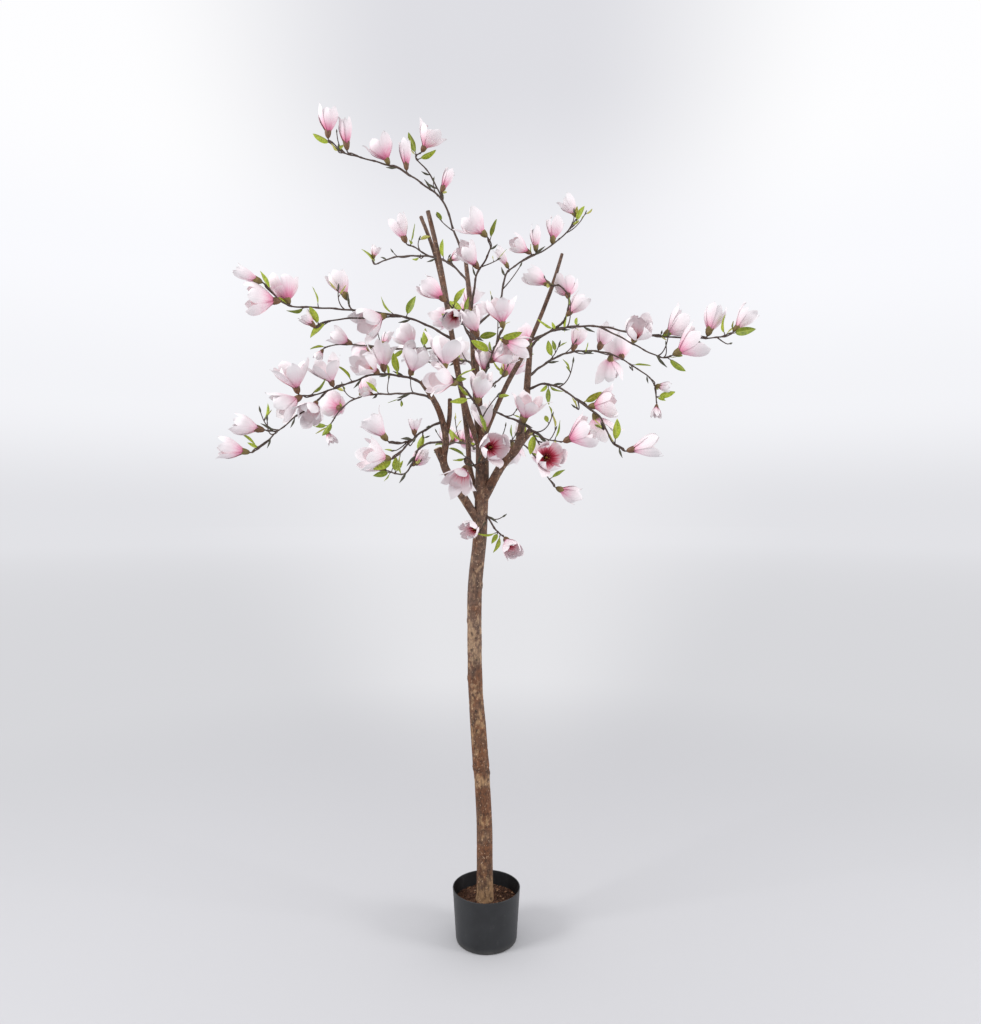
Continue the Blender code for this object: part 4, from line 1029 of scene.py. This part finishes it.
def twig_form(heap, run, along, foot, way, lead, chance):
    """Adds a bent twig, whose strand starts further down the stem and runs beside it first."""
    total = length_of(run)
    root, heading = station(run, along)
    side = (way - heading * way.dot(heading)).normalized() * 0.0042
    path = []
    for back in (1.0, 0.75, 0.45, 0.15):
        if lead and along * total > lead:
            spot, _ = station(run, along - back * lead / total)
            path.append((*(spot + side * (1 - back) ** 0.5 * 1.15), 0.0018))
    share = np.linspace(0 if not path else 0.12, 1, 8)[:, None]
    reach = np.array(foot - root)
    bow = np.array(heading) * 0.18 - draws(chance, 3, -0.12, 0.12)
    arc = np.sin(math.pi * share) * (1 - 0.4 * share)
    rise = np.array(root) + reach * share + bow * np.linalg.norm(reach) * arc
    path += [tuple(row) for row in np.column_stack([rise, TWIG_RADII])]
    tube(heap, smooth(path, 2), 7, STEM_CELL, 9)


def bud_form(heap, root, way, heading, size):
    """Adds a slim dark scale bud that hugs the stem it grows on."""
    share = np.linspace(0, 1, 8)[:, None]
    curve = np.array(way) * share + np.array(heading) * 0.55 * share ** 2
    run = np.array(root) + curve * BUD_LENGTH * size
    tube(heap, np.column_stack([run, BUD_RADII * size]), 6, BUD_CELL)


def side_twig(stems, leaves, run, along, length, taken, chance):
    """Adds a fine twig with a scale bud at its tip, and some leaves, where there is room."""
    root, heading = station(run, along)
    way = off_side(heading, chance, 0.9, 1.8)
    sway = Vector((0, 0, chance.uniform(0.25, 0.6))) - heading * chance.uniform(0.2, 0.5)
    knots = [root + (way * share + sway * share ** 2) * length for share in (0, 0.25, 0.5, 0.75, 1)]
    if not is_clear(np.array([(*knot, 0.003) for knot in knots[2:]]), taken):
        return
    tube(stems, smooth([(*knot, radius) for knot, radius in zip(knots, SIDE_TWIG_RADII)], 3), 6, STEM_CELL, 9)
    onward = (knots[-1] - knots[-2]).normalized()
    bud_form(stems, knots[-1] - onward * 0.002, onward, sway.normalized() * 0.3, chance.uniform(0.6, 0.9))
    for _ in range(chance.choice((0, 0, 1, 2))):
        aside = off_side(onward, chance, 0.6, 1.4)
        leaf(leaves, stems, knots[chance.choice((3, 4))], aside, chance.uniform(0.5, 0.8),
             chance.uniform(0, 360), chance.choice((0.4, 0.8, 1.0)), chance.choice((0, 2, 3)), chance)


def second_leaves(leaves, stems, root, way, heading, others, heads, chance):
    """Adds the leaves beside a leaf that find room, and returns the heads with theirs."""
    for _ in range(chance.choice((0, 1, 1, 2))):
        turn = chance.choice((-1, 1)) * chance.uniform(35, 80)
        aside = twist(way, heading, turn, chance.uniform(-0.3, 0.6))
        small, slim = chance.uniform(0.55, 0.85), chance.choice((0.32, 0.75, 1.0))
        _, head = shoot_balls("leaf", root, root, aside, small)
        if is_clear(head, others) and is_clear(head, heads, LEAVES_SHARE):
            cell = 3 if slim < 0.5 else chance.choice((0, 1, 2))
            leaf(leaves, stems, root, aside, small, chance.uniform(0, 360), slim, cell, chance)
            heads = np.vstack([heads, head])
    return heads


def small_growth(leaves, stems, run, knots, others, heads, chance):
    """Adds side twigs and scale buds along a stem, where there is room."""
    full = np.vstack([others, heads])
    for _ in range(round(length_of(run) / TWIG_SPACING)):
        along, length = chance.uniform(0.12, 0.95), chance.uniform(*TWIG_LENGTHS)
        side_twig(stems, leaves, run, along, length, full, chance)
    for _ in range(max(1, round(knots / KNOTS_PER_BUD))):
        root, heading = station(run, chance.uniform(0.15, 0.98))
        way = off_side(heading, chance, 0.9)
        balls = np.array([(*(root + way * reach), 0.003) for reach in (0.010, 0.016, 0.023)])
        if is_clear(balls, others) and is_clear(balls, heads):
            bud_form(stems, root, way, heading, chance.uniform(0.85, 1.25))


def dress(spray, shoots, others, heads, stems, petals, leaves, trims, chance):
    """Adds all the forms of one mass, clear of the others and of the heads it has."""
    tint = chance.choice((0, 0, 1, 1, 2))
    runs = [stem_run(stem) for stem in spray.stems]
    for place, stem in enumerate(spray.stems):
        stem_form(stems, stem, place, [shoot[1] for shoot in stem.shoots], chance)
    for kind, place, along, root, foot, way, size, roll in shoots:
        if kind == "leaf":
            leaf(leaves, stems, root, way, size, roll, 1.0, chance.choice((0, 0, 1, 2)), chance)
            heading = station(runs[place], along)[1]
            heads = second_leaves(leaves, stems, root, way, heading, others, heads, chance)
            continue
        lead = chance.choice((0, 0, 0.03, 0.05))
        twig_form(stems, runs[place], along, foot - way * 0.007, way, lead, chance)
        if chance.random() < LEAFLET_CHANCE:
            leaflets(leaves, stems, foot, way, chance)
        variant = min(3, tint + chance.choice((0, 0, 0, 1, 1, 2)))
        blossom(petals, trims, kind, foot, way, size, roll, variant, chance)
    for run, stem in zip(runs, spray.stems):
        small_growth(leaves, stems, run, len(stem.points), others, heads, chance)


def make_sprays():
    """The stems, twigs, scale buds, blossoms and leaves that stand for the masses."""
    grown, taken, heads = grow()
    stem_look, petal_look = stem_surface(), petal_surface()
    leaves, trims = Heap(), Heap()
    orders = {spray.name: order for order, spray in enumerate(SPRAYS)}
    for group, names in GROUPS.items():
        names = ["spray_" + name for name in names.split()]
        stems, petals = Heap(), Heap()
        for name in names:
            others = np.vstack([balls for other, balls in taken.items() if other != name])
            chance = random.Random(SEED + FORM_SEED + orders[name])
            dress(SPRAYS[orders[name]], grown[name], others, heads[name], stems, petals, leaves, trims,
                  chance)
        stems.piece("stems_" + group, stem_look, "stem", names)
        petals.piece("petals_" + group, petal_look, "blossom", names)
    leaves.piece("leaves", leaf_surface(), "leaf", list(orders))
    trims.piece("calyces", trim_surface(), "stem", list(orders))


def petal_surface():
    """Pale petals, pink towards the base with fine veins, and crimson deep inside."""
    look = Surface("petal_cloth", 0.62, Sheen_Weight=0.12)
    u, v = look.places()
    column, across = look.cell(u, VARIANTS)
    layer, along = look.cell(v, 2)
    shifted = look.calc("MULTIPLY_ADD", across, 9.0, look.times(column, 7.3))
    streaks = look.noise(look.plane(shifted, (along, 1.1), layer), 1.6, 2, 0.55)
    depth = look.times(column, 0.055)
    depth = look.calc("ADD", depth, look.calc("MULTIPLY_ADD", streaks, 0.30, -0.15))
    reach = look.calc("SUBTRACT", along, depth)
    outside = look.ramp(reach, (0.03, 0.81, 0.41, 0.55), (0.15, 0.885, 0.60, 0.70),
                        (0.28, 0.925, 0.78, 0.83), (0.42, 0.935, 0.87, 0.89), (0.66, 0.935, 0.905, 0.915),
                        (1.0, 0.92, 0.905, 0.91))
    inside = look.ramp(reach, (0.05, 0.54, 0.03, 0.12), (0.14, 0.71, 0.13, 0.24), (0.205, 0.86, 0.48, 0.55),
                       (0.29, 0.925, 0.78, 0.805), (0.47, 0.935, 0.89, 0.90), (1.0, 0.925, 0.912, 0.917))
    colour = look.mix(layer, outside, inside)
    middle = look.calc("ABSOLUTE", look.calc("SUBTRACT", across, 0.5))
    fan = look.calc("DIVIDE", look.calc("SUBTRACT", across, 0.5), look.calc("MULTIPLY_ADD", along, 0.55, 0.5))
    lines = look.calc("ABSOLUTE", look.calc("SINE", look.times(fan, 22.0)))
    veins = look.fade(lines, 0.26, 0.02)
    weak = look.times(veins, look.fade(along, 1.0, 0.25))
    colour = look.tint(colour, weak, 0.16, (0.82, 0.55, 0.66))
    edge = look.times(look.fade(along, 0.955, 1.0), look.fade(middle, 0.30, 0.05))
    colour = look.tint(colour, edge, 0.40, (0.78, 0.72, 0.74))
    look.feed("Base Color", colour)
    return look


def leaf_surface():
    """Fresh green leaves with a paler midrib and side veins."""
    look = Surface("leaf_cloth", 0.5)
    u, v = look.places()
    column, across = look.cell(u, VARIANTS)
    middle = look.calc("ABSOLUTE", look.calc("SUBTRACT", across, 0.5))
    mottle = look.fade(look.noise(look.plane(u, v), 9, 3), 0.3, 0.7)
    fresh = look.mix(mottle, (0.51, 0.585, 0.09), (0.70, 0.75, 0.21))
    young = look.mix(mottle, (0.66, 0.66, 0.26), (0.78, 0.75, 0.42))
    deep = look.mix(mottle, (0.40, 0.475, 0.08), (0.55, 0.61, 0.14))
    colour = look.mix(look.fade(column, 1.4, 1.6), fresh, deep)
    colour = look.mix(look.fade(column, 2.4, 2.6), colour, young)
    slant = look.calc("MULTIPLY_ADD", middle, -1.1, v)
    ribs = look.fade(look.calc("ABSOLUTE", look.calc("SINE", look.times(slant, 26.0))), 0.22, 0.0)
    colour = look.tint(colour, ribs, 0.22, (0.62, 0.69, 0.27))
    rib = look.fade(middle, 0.055, 0.02)
    colour = look.tint(colour, rib, 0.75, (0.70, 0.75, 0.38))
    look.feed("Base Color", colour)
    look.bump(look.calc("ADD", look.times(ribs, -0.5), look.times(rib, -1.0)), 0.0006, 0.6)
    return look


def stem_surface():
    """Dark moulded stems streaked with grey, and greener scale buds."""
    look = Surface("stem_moulding", 0.68)
    u, v = look.places()
    streaks = look.noise(look.plane((u, 12.0), (v, 5.0)), 2.2, 3, 0.6)
    wood = look.ramp(streaks, (0.3, 0.16, 0.115, 0.10), (0.5, 0.28, 0.215, 0.185), (0.72, 0.46, 0.375, 0.32))
    scale = look.ramp(streaks, (0.30, 0.17, 0.17, 0.13), (0.55, 0.30, 0.30, 0.22), (0.75, 0.43, 0.41, 0.32))
    look.feed("Base Color", look.mix(look.fade(u, 0.62, 0.65), wood, scale))
    look.feed("Roughness", look.calc("MULTIPLY_ADD", streaks, 0.3, 0.5))
    look.bump(streaks, 0.0010, 0.7)
    return look


def trim_surface():
    """Olive brown calyces, crimson stamens and a green core."""
    look = Surface("calyx_moulding", 0.6)
    u, v = look.places()
    column, across = look.cell(u, 4)
    grain = look.noise(look.plane((u, 40.0), (v, 3.0)), 1.5, 2)
    olive = look.ramp(look.calc("MULTIPLY_ADD", grain, 0.5, look.times(v, 0.5)),
                      (0.15, 0.30, 0.24, 0.13), (0.50, 0.46, 0.39, 0.20), (0.80, 0.57, 0.51, 0.28))
    brown = look.ramp(grain, (0.25, 0.31, 0.20, 0.13), (0.75, 0.52, 0.38, 0.25))
    stamens = look.ramp(v, (0.0, 0.45, 0.03, 0.10), (0.65, 0.66, 0.12, 0.22), (1.0, 0.86, 0.62, 0.45))
    core = look.ramp(v, (0.0, 0.40, 0.45, 0.16), (0.6, 0.56, 0.58, 0.22), (1.0, 0.70, 0.55, 0.25))
    colour = look.mix(look.fade(column, 0.4, 0.6), olive, brown)
    colour = look.mix(look.fade(column, 1.4, 1.6), colour, stamens)
    colour = look.mix(look.fade(column, 2.4, 2.6), colour, core)
    look.feed("Base Color", colour)
    look.bump(grain, 0.0008, 0.6)
    return look


POT_SIDES = 96


def pot_inner_radius(height):
    """The radius inside the pot wall at a height."""
    return POT_BASE_RADIUS + (POT_RIM_RADIUS - POT_BASE_RADIUS) * height / POT_HEIGHT - POT_WALL


def make_pot():
    """The thin moulded pot with a rounded foot and a soft rim."""
    look = Surface("pot_plastic", 0.42)
    where = look.where()
    broad, fine = look.noise(where, 22, 4, 0.65), look.noise(where, 900, 2)
    scuffs = look.noise(where, 60, 5, 0.75, (1, 1, 0.35))
    colour = look.ramp(broad, (0.30, 0.092, 0.098, 0.108), (0.70, 0.138, 0.145, 0.156))
    colour = look.tint(colour, look.fade(scuffs, 0.60, 0.74), 0.35, (0.36, 0.36, 0.36))
    dust = look.fade(look.part(where, 2), 0.020, 0.0)
    dust = look.times(dust, look.times(broad, 0.5))
    look.feed("Base Color", look.mix(dust, colour, (0.42, 0.41, 0.39)))
    look.feed("Roughness", look.calc("MULTIPLY_ADD", broad, 0.25, 0.30))
    look.bump(look.calc("ADD", fine, look.times(broad, 2.0)), 0.0002, 0.5)
    corner = POT_BASE_RADIUS - POT_FOOT_ROUND
    profile = [(corner - 0.012, 0.0015), (corner - 0.009, 0.0002), (corner - 0.004, 0.0)]
    for step in range(7):
        angle = math.radians(15 * step)
        profile.append((corner + POT_FOOT_ROUND * math.sin(angle), POT_FOOT_ROUND * (1 - math.cos(angle))))
    for height in np.linspace(0.014, POT_HEIGHT - 0.0045, 12):
        profile.append((pot_inner_radius(height) + POT_WALL - 0.0002, height))
    rim = pot_inner_radius(POT_HEIGHT) + POT_WALL / 2
    for step in range(7):
        angle = math.radians(30 * step)
        profile.append((rim + 0.00125 * math.cos(angle), POT_HEIGHT - 0.0013 + 0.0012 * math.sin(angle)))
    for height in np.linspace(POT_HEIGHT - 0.006, POT_FLOOR, 9):
        profile.append((pot_inner_radius(height), height))
    cosine, sine = circle(POT_SIDES)
    radii, heights = np.array(profile).T[:, :, None]
    points = np.stack([radii * cosine, radii * sine, heights + 0 * sine], axis=2).reshape(-1, 3)
    faces, places, ends = capped(len(profile), POT_SIDES)
    flat = points[ends][:, :, :2] / POT_RIM_RADIUS * 0.04
    flat[:len(ends) // 2] += (0.25, 0.95)
    flat[len(ends) // 2:] += (0.75, 0.95)
    pot = Heap()
    pot.add(points, np.concatenate([faces, ends]), np.concatenate([places * (1, 0.88), flat]))
    pot.piece("pot_shell", look, "pot_plastic", ["pot"], 50)


# Bark chips and crumbs: how many, and their least and greatest length; none lie under the trunk
CHIP_SIZES = ((1500, 0.0030, 0.0062), (2600, 0.0012, 0.0028))
CHIP_FREE_RADIUS = 0.022


def make_fill():
    """The weighted fill's own surface, and the bark chips and crumbs that lie on it."""
    look = Surface("chip_bed", 0.95)
    where = look.where()
    grit = look.noise(where, 320, 4, 0.7)
    look.feed("Base Color", look.ramp(grit, (0.32, 0.12, 0.07, 0.045), (0.52, 0.29, 0.175, 0.115),
                                      (0.70, 0.50, 0.34, 0.23)))
    look.bump(grit, 0.004, 1.0)
    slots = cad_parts["pot_fill"].material_slots
    slots[0].material = look.material
    chips = Surface("bark_chips", 0.9)
    u, v = chips.places()
    grain = chips.noise(chips.plane((u, 60.0), v), 3, 3)
    shade = chips.ramp(u, (0.00, 0.14, 0.085, 0.055), (0.22, 0.26, 0.155, 0.10), (0.44, 0.40, 0.26, 0.175),
                       (0.62, 0.22, 0.13, 0.085), (0.80, 0.60, 0.43, 0.30), (0.97, 0.86, 0.74, 0.59))
    worn = chips.ramp(grain, (0.3, (0.7, 0.68, 0.66, 1)), (0.7, (1.2, 1.2, 1.2, 1)))
    chips.feed("Base Color", chips.mix(1.0, shade, worn, blend="MULTIPLY"))
    chance = random.Random(SEED + CHIP_SEED)
    heap = Heap()
    edge = pot_inner_radius(FILL_TOP - FILL_CROWN) - 0.001
    corners = np.array([(x, y, z) for z in (-1, 1) for y in (-1, 1) for x in (-1, 1)], dtype=float)
    faces = np.array([(0, 2, 3, 1), (4, 5, 7, 6), (0, 1, 5, 4), (2, 6, 7, 3), (0, 4, 6, 2), (1, 3, 7, 5)])
    for count, least, most in CHIP_SIZES:
        for _ in range(count):
            away = math.sqrt(chance.uniform(CHIP_FREE_RADIUS ** 2, edge ** 2))
            bearing = chance.uniform(0, TAU)
            long = chance.uniform(least, most)
            shape = np.array([long / 2, long * chance.uniform(0.25, 0.5), long * chance.uniform(0.10, 0.28)])
            rough = draws(chance, 24, 0.6, 1.15).reshape(8, 3)
            turn = np.array(Matrix.Rotation(chance.uniform(0, TAU), 3, "Z")
                            @ Matrix.Rotation(chance.uniform(-0.6, 0.6), 3, "X")
                            @ Matrix.Rotation(chance.uniform(-0.6, 0.6), 3, "Y"))
            drop = float(np.interp(away, (FILL_FLAT_RADIUS, edge - FILL_SHOULDER, edge),
                                   (0, FILL_DISH, FILL_CROWN)))
            lift = FILL_TOP - drop + chance.uniform(0.0002, 0.0022)
            spot = (away * math.cos(bearing), away * math.sin(bearing), lift)
            patch = chance.triangular(0.0, 0.95, 0.3)
            places = np.tile([(0, 0), (0.03, 0), (0.03, 1), (0, 1)], (6, 1, 1)) + (patch, 0)
            heap.add((corners * shape * rough) @ turn.T + spot, faces, places)
    heap.piece("bark_chip_layer", chips, "fill", sharp=30)


# Camera: where it stands, and its focal length in the photograph's pixels
CAMERA_PLACE = (0.0118, -2.10, 1.2207)
FOCAL_PIXELS = 732
PHOTO_SIDE = 1024
SENSOR = 36.0


def make_camera():
    """The photograph's level viewpoint."""
    data = bpy.data.cameras.new("camera")
    data.sensor_width = SENSOR
    data.lens = FOCAL_PIXELS / PHOTO_SIDE * SENSOR
    bpy.context.scene.camera = stand("camera", data, CAMERA_PLACE, (math.radians(90), 0, 0))


def soft_light(name, place, size, power):
    """A square area light aimed at the middle of the tree."""
    data = bpy.data.lights.new(name, "AREA")
    data.size = size
    data.energy = power
    stand(name, data, place, (Vector(TREE_MIDDLE) - Vector(place)).to_track_quat("-Z", "Y").to_euler())


# The floor's radius, and the point that the lights aim at
FLOOR_RADIUS = 60
TREE_MIDDLE = (0, 0, 1.2)


def make_studio():
    """A plain pale floor that fades out into a painted glow, lighter straight in front and behind than off to
    the sides, under a pale surround, with soft lights on both sides.
    """
    mesh = bpy.data.meshes.new("floor")
    ring = bmesh.new()
    bmesh.ops.create_circle(ring, cap_ends=True, segments=64, radius=FLOOR_RADIUS)
    ring.to_mesh(mesh)
    ring.free()
    floor = stand("floor", mesh)
    look = Surface("floor_paint", 0.9, Specular_IOR_Level=0.1)
    look.shader.inputs["Base Color"].default_value = linear(0.765, 0.765, 0.775)
    where = look.where()
    far = look.node("VectorMath", [(0, where)], operation="LENGTH").outputs["Value"]
    sidewards = look.part(where, 0)
    slant = look.calc("ABSOLUTE", look.calc("DIVIDE", sidewards, look.calc("MAXIMUM", far, 0.1)))
    aside = look.fade(slant, 0.08, 0.45)
    # Painted glow of the far floor: lighter straight in front of and behind the tree than off to the sides,
    # and lighter still further away
    near_haze = look.mix(aside, (0.900, 0.900, 0.912), (0.842, 0.843, 0.857))
    far_haze = look.mix(aside, (0.922, 0.922, 0.936), (0.885, 0.886, 0.902))
    haze = look.mix(look.fade(far, 3.0, 30.0), near_haze, far_haze)
    glow = look.node("Emission", [("Color", haze), ("Strength", 1.0)]).outputs[0]
    blend = look.node("MixShader", [(0, look.fade(far, 0.8, 3.4)), (1, look.shader.outputs[0]), (2, glow)])
    output = look.tree.nodes["Material Output"]
    look.tree.links.new(blend.outputs[0], output.inputs["Surface"])
    # Neither glow is picked out as a lamp, which leaves less grain on the petals
    look.material.cycles.emission_sampling = "NONE"
    mesh.materials.append(look.material)
    world = bpy.data.worlds.new("surround")
    bpy.context.scene.world = world
    world.use_nodes = True
    world.cycles.sampling_method = "NONE"
    sky = Nodes(world.node_tree)
    split = sky.node("SeparateXYZ", [(0, sky.node("TexCoord").outputs["Generated"])])
    height = split.outputs[2]
    middle = sky.ramp(height, (0.0, 0.922, 0.922, 0.936), (0.16, 0.945, 0.945, 0.960),
                      (0.32, 0.940, 0.940, 0.958), (0.52, 0.872, 0.872, 0.892), blend="EASE")
    side = sky.ramp(height, (0.0, 0.885, 0.886, 0.902), (0.14, 0.955, 0.957, 0.972),
                    (0.30, 0.980, 0.982, 0.997), (0.45, 0.995, 0.995, 1.0), blend="EASE")
    aside = sky.fade(sky.calc("ABSOLUTE", split.outputs[0]), 0.08, 0.40)
    sky.tree.links.new(sky.mix(aside, middle, side), sky.tree.nodes["Background"].inputs["Color"])
    soft_light("key_light", (-3.0, -1.5, 2.9), 1.2, 74)
    soft_light("fill_light", (3.2, -1.2, 1.9), 1.0, 48)
    bpy.context.scene.view_settings.view_transform = "Standard"


make_camera()
make_studio()
make_pot()
make_fill()
make_wood()
make_sprays()
